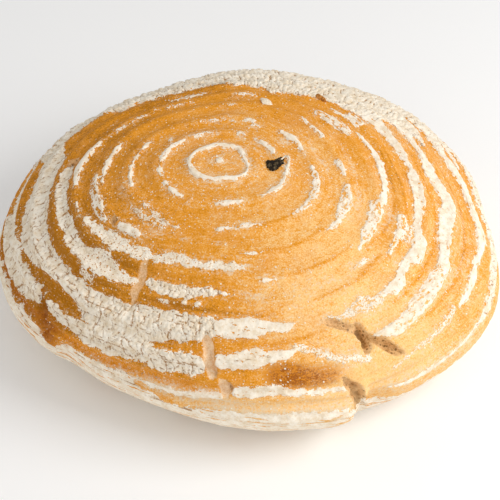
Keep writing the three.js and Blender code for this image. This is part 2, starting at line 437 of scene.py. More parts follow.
class Finish(Enum):
    """How a flour patch lies on the crust."""

    CRISP = "crisp"
    WORN = "worn"
    SPECKLED = "speckled"
    CRACKED = "cracked"
    CAKED = "caked"
    POWDERY = "powdery"
    SMEARED = "smeared"
    THIN = "thin"
    MOTTLED = "mottled"
    CRAGGY = "craggy"


CRISP, WORN, SPECKLED, CRACKED, CAKED, POWDERY, SMEARED, THIN, MOTTLED, CRAGGY = Finish


@dataclass(frozen=True)
class FinishLook:
    """Sizes of a flour finish in millimetres, and how worn, cracked and powdery it is."""

    ragged: float
    thick: float
    wear: float
    cracks: float
    powder: float


LOOKS: dict[Finish, FinishLook] = {
    CRISP: FinishLook(ragged=0.85, thick=0.65, wear=0.3, cracks=0.12, powder=0.1),
    WORN: FinishLook(ragged=1.3, thick=0.5, wear=0.6, cracks=0.0, powder=0.3),
    SPECKLED: FinishLook(ragged=1.8, thick=0.35, wear=0.45, cracks=0.0, powder=0.85),
    CRACKED: FinishLook(ragged=1.1, thick=0.75, wear=0.06, cracks=1.0, powder=0.15),
    CAKED: FinishLook(ragged=1.3, thick=0.6, wear=0.16, cracks=1.0, powder=0.2),
    POWDERY: FinishLook(ragged=2.2, thick=0.5, wear=0.2, cracks=0.75, powder=0.65),
    SMEARED: FinishLook(ragged=1.8, thick=0.45, wear=0.4, cracks=0.5, powder=0.2),
    THIN: FinishLook(ragged=0.9, thick=0.35, wear=0.3, cracks=0.0, powder=0.5),
    CRAGGY: FinishLook(ragged=2.0, thick=1.15, wear=0.12, cracks=1.0, powder=0.2),
    MOTTLED: FinishLook(ragged=1.0, thick=0.6, wear=0.5, cracks=0.0, powder=0.12),
}


@dataclass(frozen=True)
class FlourPatch:
    """A run of flour: azimuth with the upper and lower ring number at each knot."""

    ring: int
    finish: Finish
    knots: Knots

    def columns(self) -> Array:
        """Return the azimuths, the upper and the lower ring numbers of the knots."""
        return np.array(self.knots, float).T

    def beside(self, degrees: Array) -> tuple[Array, float]:
        """Return the azimuths from the patch's middle, and half the patch's width in degrees."""
        at = self.columns()[0]
        return wrapped(degrees - (at[0] + at[-1]) / 2), (at[-1] - at[0]) / 2

    def margin(self, degrees: Array, ring: Array, per_ring: Array, per_degree: Array) -> Array:
        """Measure how far inside the patch places are.

        Args:
            degrees: Azimuths.
            ring: Ring numbers.
            per_ring: Millimetres for one ring.
            per_degree: Millimetres for one degree.

        Returns:
            Millimetres to the patch's edge, negative outside.
        """
        at, upper, lower = self.columns()
        centre = (at[0] + at[-1]) / 2
        turn = centre + wrapped(degrees - centre)
        held = np.clip(turn, at[0], at[-1])
        middle = np.interp(held, at, (upper + lower) / 2)
        half = np.interp(held, at, (lower - upper) / 2)
        across = (ring - middle) * per_ring
        beyond = (turn - held) * per_degree
        return half * per_ring - np.hypot(across, beyond)


FLOUR: dict[int, tuple[tuple[Finish, Knots], ...]] = {
    1: (
        (CRISP, ((-172, 0.22, 0.38), (-158, 0.22, 0.4))),
        (SPECKLED, ((160, 0.3, 0.4), (180, 0.45, 0.6))),
        (CRISP, (
            (-180, 1.0, 1.17), (-165, 0.95, 1.12), (-135, 1.0, 1.17), (-120, 1.02, 1.19), (-90, 0.97, 1.14),
            (-75, 0.92, 1.09), (-60, 0.85, 1.01), (-45, 0.72, 0.88), (-30, 0.6, 0.76), (-15, 0.53, 0.71),
            (0, 0.55, 0.75), (15, 0.6, 0.81), (30, 0.64, 0.86), (45, 0.7, 0.91), (60, 0.77, 1.0),
            (70, 0.84, 1.06), (80, 0.77, 1.0), (90, 0.73, 0.99), (105, 0.76, 1.08), (120, 0.8, 1.14),
            (135, 0.84, 1.17), (150, 0.86, 1.1), (165, 0.95, 1.12), (180, 1.0, 1.17),
        )),
    ),
    2: (
        (THIN, ((-180, 1.81, 1.93), (-165, 1.82, 1.92))),
        (CRISP, ((-158, 1.82, 1.9), (-150, 1.84, 2.0), (-145, 1.88, 2.06), (-139, 2.02, 2.12))),
        (CRISP, ((-131.5, 2.05, 2.15), (-130.5, 2.05, 2.15))),
        (CRISP, ((-108, 2.1, 2.2), (-101, 2.02, 2.22), (-95, 1.99, 2.17), (-83, 1.96, 2.04))),
        (WORN, (
            (-61, 1.9, 1.98), (-45, 1.85, 2.02), (-30, 1.82, 2.0), (-20, 1.82, 2.0), (-8, 1.96, 2.14),
            (3, 2.08, 2.28), (11, 2.2, 2.3),
        )),
        (CRISP, ((17.5, 1.83, 1.9), (25, 1.78, 1.95), (45, 1.78, 1.95), (57, 1.82, 1.92))),
        (WORN, ((76, 1.8, 1.95), (83, 1.8, 1.94))),
        (SPECKLED, ((112, 1.84, 1.98), (127, 1.82, 2.02), (141, 1.85, 1.98))),
        (CRISP, ((149, 1.84, 1.93), (160, 1.8, 1.96), (180, 1.81, 1.94))),
        (THIN, ((149, 2.36, 2.44), (158, 2.06, 2.12))),
    ),
    3: (
        (CRISP, ((-180, 2.74, 2.86), (-167, 2.76, 2.84))),
        (SPECKLED, ((-154, 2.75, 2.85), (-145, 2.86, 3.06), (-136, 3.06, 3.26), (-126, 3.3, 3.4))),
        (SPECKLED, ((-152, 3.12, 3.4), (-146, 3.15, 3.5))),
        (SPECKLED, ((-143, 3.2, 3.46), (-133, 3.28, 3.5))),
        (WORN, ((-101, 3.16, 3.24), (-93, 3.03, 3.17), (-82, 2.92, 3.02), (-74, 2.92, 2.98))),
        (WORN, (
            (-50, 2.95, 3.0), (-40, 2.87, 3.07), (-30, 2.78, 3.05), (-20, 2.75, 3.0), (-14, 2.75, 3.05),
            (-6, 2.78, 2.98), (0, 2.82, 2.94),
        )),
        (CRISP, (
            (11, 2.86, 2.9), (20, 2.81, 2.92), (28, 2.77, 2.98), (35, 2.7, 3.0), (40, 2.75, 2.92),
            (47, 2.75, 2.95),
        )),
        (SPECKLED, ((67, 2.62, 2.74), (73, 2.62, 2.72))),
        (SPECKLED, ((75, 2.8, 2.9), (81, 2.8, 2.9))),
        (SPECKLED, ((91, 2.65, 2.75), (98, 2.68, 2.76))),
        (SPECKLED, ((98, 2.78, 2.88), (115, 2.78, 2.9), (131, 2.8, 2.88))),
        (CRISP, ((158, 2.76, 2.82), (168, 2.72, 2.86), (180, 2.74, 2.86))),
    ),
    4: (
        (CRISP, ((-180, 3.72, 3.9), (-174, 3.74, 3.9))),
        (WORN, (
            (-179, 3.98, 4.28), (-172, 3.95, 4.34), (-165, 3.95, 4.35), (-160, 4.05, 4.4),
            (-154, 4.22, 4.38),
        )),
        (CRISP, ((-147.5, 3.9, 4.28), (-143, 3.88, 4.32), (-138.5, 3.98, 4.28))),
        (THIN, ((-88, 4.08, 4.16), (-78, 4.04, 4.12))),
        (WORN, (
            (-41.5, 4.0, 4.1), (-38, 3.98, 4.17), (-30, 3.8, 4.12), (-26, 3.68, 4.12), (-20, 3.68, 4.1),
            (-15, 3.7, 4.05), (-10, 3.8, 4.0),
        )),
        (CRISP, ((-2.5, 3.82, 3.98), (1, 3.77, 4.05), (6, 3.78, 4.04), (9, 3.85, 3.98))),
        (THIN, ((30, 3.86, 3.95), (38, 3.86, 3.98), (45, 3.92, 4.04), (51, 4.14, 4.24))),
        (SPECKLED, ((91, 3.8, 3.9), (98, 3.8, 3.9))),
        (CRISP, ((161, 3.76, 3.86), (170, 3.7, 3.9), (180, 3.72, 3.9))),
    ),
    5: (
        (CRISP, ((-180, 4.86, 5.12), (-178, 4.84, 5.1), (-176, 4.88, 5.05))),
        (THIN, ((-169, 4.92, 5.0), (-160, 4.9, 5.0))),
        (POWDERY, (
            (-161, 4.75, 5.0), (-155, 4.6, 5.05), (-150, 4.45, 5.05), (-147, 4.4, 5.1), (-143, 4.5, 5.25),
            (-138, 4.6, 5.15), (-133, 4.55, 5.2), (-129, 4.6, 5.2), (-126.5, 4.7, 5.05),
        )),
        (POWDERY, (
            (-125, 4.7, 5.0), (-119, 4.6, 5.0), (-114, 4.5, 5.0), (-105, 4.65, 4.95), (-100, 4.5, 5.0),
            (-93, 4.45, 4.85), (-87, 4.55, 4.8),
        )),
        (CRISP, ((-79.5, 5.13, 5.23), (-75, 5.12, 5.24))),
        (THIN, ((-45, 5.6, 5.7), (-39, 5.6, 5.7))),
        (WORN, (
            (-38, 5.1, 5.24), (-35, 5.0, 5.22), (-31, 4.75, 5.2), (-25, 4.75, 5.15), (-20, 4.72, 5.15),
            (-14, 4.68, 5.15), (-12.5, 4.9, 5.15),
        )),
        (CRISP, (
            (-13, 4.92, 5.18), (-5, 5.15, 5.37), (3, 5.25, 5.55), (10, 5.34, 5.63), (18, 5.39, 5.59),
            (25, 5.33, 5.46), (30, 5.27, 5.34),
        )),
        (WORN, ((28, 4.87, 4.95), (30, 4.75, 5.1), (35, 4.68, 5.2), (42, 4.66, 5.2), (48, 4.72, 5.05))),
        (SPECKLED, ((81, 4.68, 4.78), (91, 4.67, 4.77))),
        (SPECKLED, ((113, 4.68, 4.78), (155, 4.7, 4.82))),
        (CRISP, (
            (159, 4.82, 4.92), (165, 4.82, 5.1), (170, 4.83, 5.25), (175, 4.86, 5.3), (180, 4.86, 5.14),
        )),
    ),
    6: (
        (CAKED, (
            (-180, 5.4, 5.95), (-172, 5.4, 5.9), (-165, 5.4, 5.95), (-160, 5.45, 6.0), (-155, 5.6, 6.2),
            (-150, 5.6, 6.3),
        )),
        (POWDERY, (
            (-150, 5.6, 6.3), (-147, 5.4, 6.4), (-143, 5.4, 6.5), (-138, 5.6, 6.5), (-133, 5.9, 6.45),
            (-128.5, 6.0, 6.4),
        )),
        (SPECKLED, ((-145, 6.5, 6.75), (-140, 6.62, 6.9))),
        (CRACKED, (
            (-122.5, 5.85, 6.15), (-120, 5.85, 6.4), (-115, 5.8, 6.4), (-110, 5.75, 6.35),
            (-105, 5.75, 6.3), (-100, 5.65, 6.0), (-94, 5.7, 5.9),
        )),
        (CRISP, ((-115.3, 6.56, 6.66), (-114.6, 6.56, 6.66))),
        (CRISP, ((-112.8, 6.58, 6.67), (-112.1, 6.58, 6.67))),
        (CRISP, ((-107.7, 6.46, 6.56), (-106.8, 6.45, 6.55))),
        (CRISP, ((-103.3, 6.38, 6.48), (-102.1, 6.36, 6.46))),
        (WORN, (
            (-32, 5.95, 6.05), (-29, 5.82, 5.98), (-25, 5.75, 6.0), (-20, 5.7, 6.08), (-16, 5.65, 6.0),
        )),
        (SPECKLED, ((-23, 6.1, 6.3), (-17, 6.15, 6.4))),
        (THIN, ((34, 5.52, 5.6), (48, 5.5, 5.6))),
        (WORN, ((36, 5.62, 5.95), (40, 5.65, 5.95))),
        (WORN, ((104, 5.38, 5.55), (112, 5.3, 5.65), (119, 5.4, 5.6))),
        (CAKED, ((170, 5.5, 5.75), (174, 5.42, 5.9), (180, 5.4, 5.95))),
    ),
    7: (
        (CAKED, (
            (-180, 6.25, 7.7), (-175, 6.3, 7.85), (-170, 6.45, 7.95), (-165, 6.6, 8.0), (-160, 6.65, 7.95),
            (-156, 6.78, 7.75), (-150, 6.85, 7.62), (-148, 6.9, 7.62),
        )),
        (CRACKED, (
            (-148, 6.9, 7.62), (-145, 6.95, 7.72), (-140, 7.05, 8.0), (-137, 7.1, 8.25), (-134, 7.1, 8.6),
            (-129, 7.1, 8.55), (-126, 7.15, 8.5),
        )),
        (CRACKED, (
            (-120.5, 7.0, 8.55), (-118, 6.95, 8.5), (-115, 6.95, 8.4), (-108, 6.92, 8.1),
            (-104, 6.88, 7.95), (-100, 6.82, 7.8), (-98.5, 6.8, 7.7),
        )),
        (CRISP, (
            (-94, 6.75, 7.5), (-90, 6.7, 7.48), (-87, 6.67, 7.45), (-83, 6.68, 7.4), (-80, 6.75, 7.15),
            (-75, 6.8, 7.2), (-72, 6.87, 6.97),
        )),
        (SPECKLED, (
            (-63, 6.93, 7.03), (-57, 6.95, 7.15), (-53, 6.75, 7.2), (-50, 6.6, 7.25), (-46, 6.85, 7.3),
        )),
        (MOTTLED, ((-44.5, 6.9, 7.02), (-40, 6.78, 7.2), (-36, 6.68, 7.15), (-34.5, 6.58, 6.9))),
        (CRISP, (
            (-34.5, 6.58, 6.9), (-30, 6.42, 6.74), (-28, 6.45, 7.0), (-24, 6.43, 6.92), (-20.5, 6.37, 6.85),
            (-18, 6.3, 6.58), (-15, 6.18, 6.47), (-10, 6.22, 6.55), (-3, 6.32, 6.72), (3, 6.33, 6.8),
            (7, 6.3, 6.78), (9, 6.5, 6.76), (12, 6.5, 6.72), (17, 6.4, 6.7), (25, 6.3, 6.6),
            (30, 6.25, 6.6), (35, 6.15, 6.65), (38, 6.1, 6.8),
        )),
    ),
    8: (
        (CAKED, (
            (-180, 8.35, 9.4), (-175, 8.05, 9.45), (-165, 8.1, 9.5), (-160, 8.15, 9.45), (-155, 8.2, 9.35),
            (-151, 8.2, 9.2),
        )),
        (CRACKED, (
            (-145.5, 8.4, 9.2), (-140, 8.55, 9.35), (-135, 8.55, 9.55), (-130, 8.45, 9.8),
            (-125, 8.42, 9.75), (-120, 8.4, 9.65), (-115, 8.4, 9.4), (-108, 8.45, 9.6), (-104, 8.35, 9.3),
            (-99.5, 8.3, 9.15),
        )),
        (CRISP, (
            (-93, 8.1, 8.7), (-90, 8.0, 8.6), (-87, 7.8, 8.6), (-84, 7.7, 8.5), (-81, 7.85, 8.3),
            (-75, 7.8, 8.05), (-73, 7.7, 7.85),
        )),
        (SPECKLED, (
            (-73.5, 7.62, 7.8), (-70, 7.73, 8.02), (-67, 7.95, 8.27), (-65, 8.15, 8.47), (-60, 8.42, 8.72),
            (-56.5, 8.6, 9.0),
        )),
        (MOTTLED, (
            (-52.5, 8.03, 8.17), (-50, 8.02, 8.3), (-46, 7.95, 8.45), (-40, 7.75, 8.25), (-36, 7.6, 8.2),
            (-31, 7.5, 8.0), (-28, 7.45, 7.98), (-24, 7.4, 7.9),
        )),
        (CRISP, (
            (-24, 7.4, 7.9), (-22, 7.38, 7.88), (-20, 7.33, 7.63), (-15, 7.12, 7.57), (-10, 7.1, 7.6),
            (-5, 7.2, 7.8), (0, 7.45, 7.87), (5, 7.35, 7.75), (10, 7.15, 7.58), (15, 7.2, 7.55),
            (20, 7.28, 7.46), (30, 7.1, 7.4), (36, 7.1, 7.6),
        )),
        (CAKED, ((158, 8.0, 8.8), (180, 8.35, 8.8))),
    ),
    9: (
        (CRISP, (
            (-108, 10.55, 11.1), (-103, 10.5, 11.1), (-100, 10.3, 11.0), (-97, 10.1, 10.8),
            (-93, 9.9, 10.6),
        )),
        (CRISP, (
            (-89, 9.45, 10.1), (-84, 9.3, 10.0), (-79, 9.15, 9.75), (-76, 9.3, 9.9), (-71.5, 9.6, 9.95),
            (-65, 9.65, 10.1), (-62, 9.88, 10.2),
        )),
        (SPECKLED, ((-51.5, 9.95, 10.05), (-46.5, 9.45, 9.75))),
        (SPECKLED, (
            (-45, 9.25, 9.55), (-41, 9.2, 9.55), (-37, 9.0, 9.4), (-33, 8.85, 9.35), (-29.5, 8.75, 8.9),
        )),
        (CRISP, (
            (-28, 8.9, 9.05), (-25, 8.7, 9.15), (-20, 8.57, 9.05), (-15, 8.53, 8.87), (-10, 8.7, 9.1),
            (-5, 8.68, 9.55), (0, 8.65, 9.55), (5, 8.6, 9.4), (10, 8.55, 9.3), (14, 8.47, 9.25),
            (16, 8.4, 8.85), (21, 8.3, 8.55), (24, 8.25, 8.5),
        )),
    ),
    RIM: (
        (CRISP, ((-97, 11.42, 11.95), (-90, 11.3, 11.95), (-80, 11.2, 12.0), (-64, 11.4, 12.0))),
        (CAKED, ((-125, 10.68, 11.1), (-116, 10.62, 11.15), (-108, 10.55, 11.1))),
        (THIN, ((-52, 11.5, 11.8), (-45, 11.35, 11.7), (-33, 11.05, 11.4), (-27, 10.8, 11.2))),
        (CAKED, (
            (-27, 10.7, 11.2), (-22, 10.45, 11.2), (-15, 10.2, 11.2), (-9, 9.8, 11.0), (0, 9.8, 11.1),
            (12, 9.6, 11.2), (20, 9.45, 11.6), (27, 9.3, 12.5),
        )),
    ),
    BACK: (
        (CRAGGY, (
            (24, 7.55, 7.7), (33, 7.1, 7.95), (36, 6.2, 7.95), (50, 5.9, 7.95), (60, 5.7, 7.9),
            (65, 5.5, 7.9), (70, 5.4, 7.9), (75, 5.3, 7.9), (80, 5.45, 7.9), (85, 5.6, 7.9), (90, 5.7, 7.9),
            (95, 5.8, 7.9), (100, 6.2, 7.9), (110, 6.4, 7.9), (130, 6.5, 7.9), (136, 6.4, 7.9),
            (141, 7.1, 7.9), (160, 7.2, 7.9),
        )),
        (CAKED, ((158, 6.9, 7.8), (165, 6.25, 7.7), (180, 6.25, 7.5))),
        (CRAGGY, ((24, 8.2, 8.5), (40, 8.1, 8.85), (80, 8.12, 8.9), (120, 8.1, 8.85), (160, 8.05, 8.8))),
        (CAKED, ((20, 8.95, 9.2), (40, 9.02, 9.75), (90, 9.05, 9.8), (140, 9.0, 9.7), (158, 9.1, 9.4))),
        (CAKED, (
            (27, 9.9, 11.5), (45, 9.95, 11.5), (90, 9.98, 11.4), (140, 10.0, 11.3), (180, 10.25, 11.5),
        )),
    ),
    HEEL: (
        (SMEARED, (
            (-180, 10.1, 21), (-165, 10.15, 21), (-150, 10.3, 21), (-143, 12.4, 21), (-138, 10.8, 21),
            (-120, 10.7, 21), (-114, 11.5, 21), (-105, 12.2, 21), (-98, 11.6, 21), (-90, 11.3, 21),
            (-80, 11.2, 21), (-70, 11.3, 21), (-65, 11.4, 21), (-62.5, 11.9, 21),
        )),
        (SMEARED, ((-54, 13.6, 21), (-30, 13.0, 21), (0, 12.2, 21), (30, 11.6, 21))),
        (SMEARED, ((30, 11.7, 21), (90, 11.6, 21), (180, 11.8, 21))),
    ),
}


def flour_patches() -> list[FlourPatch]:
    """Return the patches of flour, in the order of the table."""
    return [FlourPatch(ring, finish, knots) for ring, runs in FLOUR.items() for finish, knots in runs]


# Browning, painted valley shade, dust and tears

@dataclass(frozen=True)
class Blob:
    """A soft round patch of one value: place, spread in degrees and rings, and value."""

    azimuth: float
    ring: float
    wide: float
    deep: float
    value: float

    def at(self, degrees: Array, ring: Array) -> Array:
        """Return the patch's value at places."""
        across = wrapped(degrees - self.azimuth) / self.wide
        return self.value * np.exp(-(across**2) - ((ring - self.ring) / self.deep) ** 2)


BAKE: tuple[Blob, ...] = (
    Blob(-55, 10.0, 18, 1.5, 0.8), Blob(-40, 8.5, 16, 1.5, 0.5), Blob(-10, 10.5, 30, 1.2, 0.3),
    Blob(-45, 5.0, 34, 3.0, 0.75), Blob(5, 8.2, 30, 2.0, 0.35), Blob(10, 3.8, 35, 2.2, 0.25),
    Blob(-160, 7.5, 34, 4.0, -0.95), Blob(-125, 8.4, 26, 2.0, -0.45), Blob(-165, 9.6, 22, 0.7, -0.7),
    Blob(-135, 10.1, 16, 0.6, 0.3), Blob(-78, 10.6, 22, 0.8, 0.35), Blob(150, 5.6, 40, 2.0, -0.35),
    Blob(-90, 3.5, 60, 1.0, 0.1), Blob(0, 0.5, 400, 2.2, 0.3), Blob(110, 6.0, 25, 0.5, -0.6),
    Blob(-85, 10.8, 34, 0.9, 0.75), Blob(-68, 6.6, 22, 1.8, 0.4), Blob(-45, 13.0, 60, 1.8, 0.9),
    Blob(-60, 8.6, 12, 1.4, 0.3),
)
TOAST: tuple[Blob, ...] = (
    Blob(-77, 8.75, 4.6, 0.5, 1.15), Blob(-69.5, 9.0, 7.5, 0.55, 0.95), Blob(-96, 8.2, 6, 0.3, 0.5),
    Blob(-86, 6.05, 9, 0.3, 0.35), Blob(-112, 6.75, 13, 0.25, 0.4), Blob(-152, 9.8, 14, 0.5, 0.7),
    Blob(-144.5, 11.2, 3.5, 1.8, 0.9), Blob(-166, 9.85, 14, 0.3, 0.6), Blob(-50, 10.2, 6, 0.6, 0.3),
)
HAZE: tuple[Blob, ...] = (
    Blob(15, 3.35, 30, 0.2, 0.5), Blob(10, 4.35, 20, 0.16, 0.6), Blob(-18, 4.3, 8, 0.14, 0.5),
    Blob(-18, 5.4, 8, 0.14, 0.5), Blob(-165, 3.15, 8, 0.25, 0.45), Blob(-132, 3.8, 5, 0.2, 0.5),
    Blob(-119, 3.8, 4, 0.15, 0.45), Blob(-99, 3.75, 6, 0.15, 0.45), Blob(-85, 5.75, 6, 0.2, 0.5),
    Blob(35, 2.45, 7, 0.2, 0.5), Blob(-30, 7.5, 30, 2.5, 0.25), Blob(-140, 4.0, 25, 0.8, 0.2),
    Blob(-100, 4.75, 25, 0.4, 0.3), Blob(0, 8.1, 30, 0.3, 0.35), Blob(30, 6.8, 12, 1.0, 0.35),
    Blob(-57, 5.7, 14, 0.8, 0.3), Blob(-95, 10.9, 40, 0.8, 0.6), Blob(-60, 8.2, 12, 0.8, 0.3),
    Blob(-78, 6.2, 18, 1.2, 0.25), Blob(-40, 11.8, 40, 1.6, 0.4), Blob(0, 0.3, 400, 2.6, 0.36),
)
TEARS: tuple[Tear, ...] = (
    Tear(((-64.5, 6.98), (-60.5, 7.24), (-57, 7.58), (-54, 7.95)), 2.5, 3.2, 0.85, 0.5, 0.45),
    Tear(((-55.9, 7.5), (-55.3, 7.85), (-55.2, 8.15), (-55.8, 8.5)), 3.4, 5.6, 1.0, 0.28, 0.45),
    Tear(((-56, 7.8), (-52.5, 8.25), (-50, 8.7), (-47.2, 9.3)), 2.6, 4.4, 1.0, 0.4, 0.55),
    Tear(((-63.5, 9.3), (-61, 10.4), (-59.5, 12.2), (-58.5, 14.2), (-58, 16.5)), 4.2, 5.0, 0.9, 0.5, 0.4),
    Tear(((-60.8, 11.6), (-59.2, 13.6), (-58, 16.5)), 5.6, 3.0, 0.8, 0.4, 0.4),
    # Grooves A and B: a pale scraped hollow, then a narrower, deeper one just right of it whose darker raw
    # crumb is painted shade on the groove's right wall.
    Tear(((-98.2, 7.45), (-96.6, 8.2), (-95.2, 9.15)), 2.6, 2.3, 0.0, 0.3, 0.3),
    Tear(((-96.7, 7.9), (-95.3, 8.5), (-94.2, 9.05)), 1.3, 3.6, 0.9, 0.4, 0.3),
    Tear(((-92.8, 9.2), (-91.7, 9.6), (-91.2, 10.15)), 2.5, 2.1, 0.0, 0.3, 0.3),
    Tear(((-91.4, 9.2), (-90.4, 9.5), (-90.1, 9.8)), 1.3, 3.2, 0.9, 0.4, 0.3),
    Tear(((-127.8, 5.0), (-125.5, 6.2), (-124, 7.2)), 2.4, 0.4, 0.0, 0.4, 0.55, 0.5),
    Tear(((-124, 7.0), (-122.5, 8.4)), 1.4, 0.8, 0.3, 0.5, 0.3, 0.7),
    Tear(((-151, 8.1), (-147.5, 9.3), (-145, 10.4), (-143, 12.6)), 3.0, 5.4, 0.9, 0.5, 0.3, 0.25),
    Tear(((-153.5, 3.95), (-151, 4.2)), 1.8, 2.6, 1.0),
    Tear(((166, 5.6), (170, 5.75)), 2.6, 3.0, 0.9),
)
# Valleys between the rings, where the crust colour is darkened as painted shade.
SHADED_VALLEYS: tuple[Path, ...] = (
    ((-82, 3.0), (-60, 2.96), (-46, 2.9)), ((-80, 4.05), (-60, 4.02), (-42, 3.9)),
    ((-72, 5.1), (-50, 5.0), (-40, 4.95)), ((-66, 6.2), (-48, 6.1), (-36, 5.8)),
    ((-36, 5.3), (-10, 5.55), (20, 5.75)), ((-34, 6.1), (-10, 5.95), (25, 5.9)),
    ((-46, 7.4), (-20, 7.1), (0, 7.0), (22, 6.9)), ((-44, 8.5), (-20, 8.15), (0, 8.2), (20, 7.8)),
    ((-175, 5.3), (-150, 5.45), (-128, 5.6)), ((-175, 6.15), (-152, 6.6), (-130, 6.75)),
    ((-120, 6.72), (-95, 6.55), (-78, 6.5)),
    ((-84, 7.65), (-70, 7.45), (-64, 7.3)), ((95, 6.0), (115, 6.05), (135, 6.1)),
)
HAIRLINES: tuple[Path, ...] = (
    ((-172, 6.78), (-160, 6.98), (-150, 7.12), (-137, 7.3), (-120, 7.3), (-108, 7.25), (-99, 7.12)),
    ((-166, 7.3), (-150, 7.42), (-137, 7.62), (-124, 7.7)),
    ((-168, 8.5), (-150, 8.72), (-130, 9.1), (-112, 9.05), (-100, 8.75)),
    ((-92, 8.35), (-84, 8.12), (-78, 7.98)),
    ((-37, 7.9), (-28, 7.72), (-20, 7.5), (-10, 7.35), (0, 7.66), (9, 7.4)),
    ((-27, 6.72), (-20, 6.62), (-10, 6.4), (2, 6.56)),
    ((-160, 10.9), (-140, 11.9), (-118, 12.2), (-95, 12.3), (-66, 12.4)),
    ((-135, 11.4), (-118, 11.5), (-104, 11.5)),
    ((-110, 13.6), (-88, 13.4), (-66, 13.6)),
    ((-45, 11.9), (-25, 11.3), (-5, 10.9), (15, 10.4)),
    ((-178, 5.7), (-165, 5.66), (-153, 5.9)),
)


def follow(path: Path, degrees: Array) -> tuple[Array, Array, Array]:
    """Follow a path round the loaf.

    Args:
        path: Places of its knots.
        degrees: Azimuths.

    Returns:
        The knots' azimuths, the azimuths counted on from the first knot and the path's ring number there.
    """
    at, rings = np.array(path, float).T
    turn = at[0] + wrapped(degrees - at[0])
    return at, turn, np.interp(turn, at, rings)


def cell_edges(flat: Array) -> Array:
    """Measure how far places in a plane are from the edges of scattered cells.

    Args:
        flat: Places, in cells.

    Returns:
        Distance to the nearest edge, in cells.
    """
    cell = np.floor(flat).astype(int)
    columns, rows = CELL_TABLE
    jitter = np.random.default_rng(CELL_SEED).uniform(0.02, 0.98, (columns, rows, 2))
    nearest = np.full(len(flat), FAR_CELL)
    seed = np.zeros((len(flat), 2))
    spots = []
    for step_x in (-2, -1, 0, 1, 2):
        for step_y in (-2, -1, 0, 1, 2):
            at = cell + np.array([step_x, step_y])
            spot = jitter[at[:, 0] % columns, at[:, 1] % rows] + at
            gap = np.linalg.norm(spot - flat, axis=1)
            closer = gap < nearest
            nearest[closer] = gap[closer]
            seed[closer] = spot[closer]
            spots.append(spot)
    edge = np.full(len(flat), FAR_CELL)
    for spot in spots:
        way = spot - seed
        length = np.linalg.norm(way, axis=1)
        side = (((spot + seed) / 2 - flat) * way).sum(axis=1)
        edge = np.minimum(edge, np.where(length > 1e-6, side / np.maximum(length, 1e-6), FAR_CELL))
    return edge


@dataclass
class Fields:
    """What is known of the crust at places, one value each."""

    points: Array
    normals: Array
    margin: Array
    crack: Array
    wear: Array
    powder: Array
    thick: Array
    bake: Array
    toast: Array
    haze: Array
    crumb: Array
    raw_and_wall_shade: Array
    hollow: Array
    out: Array


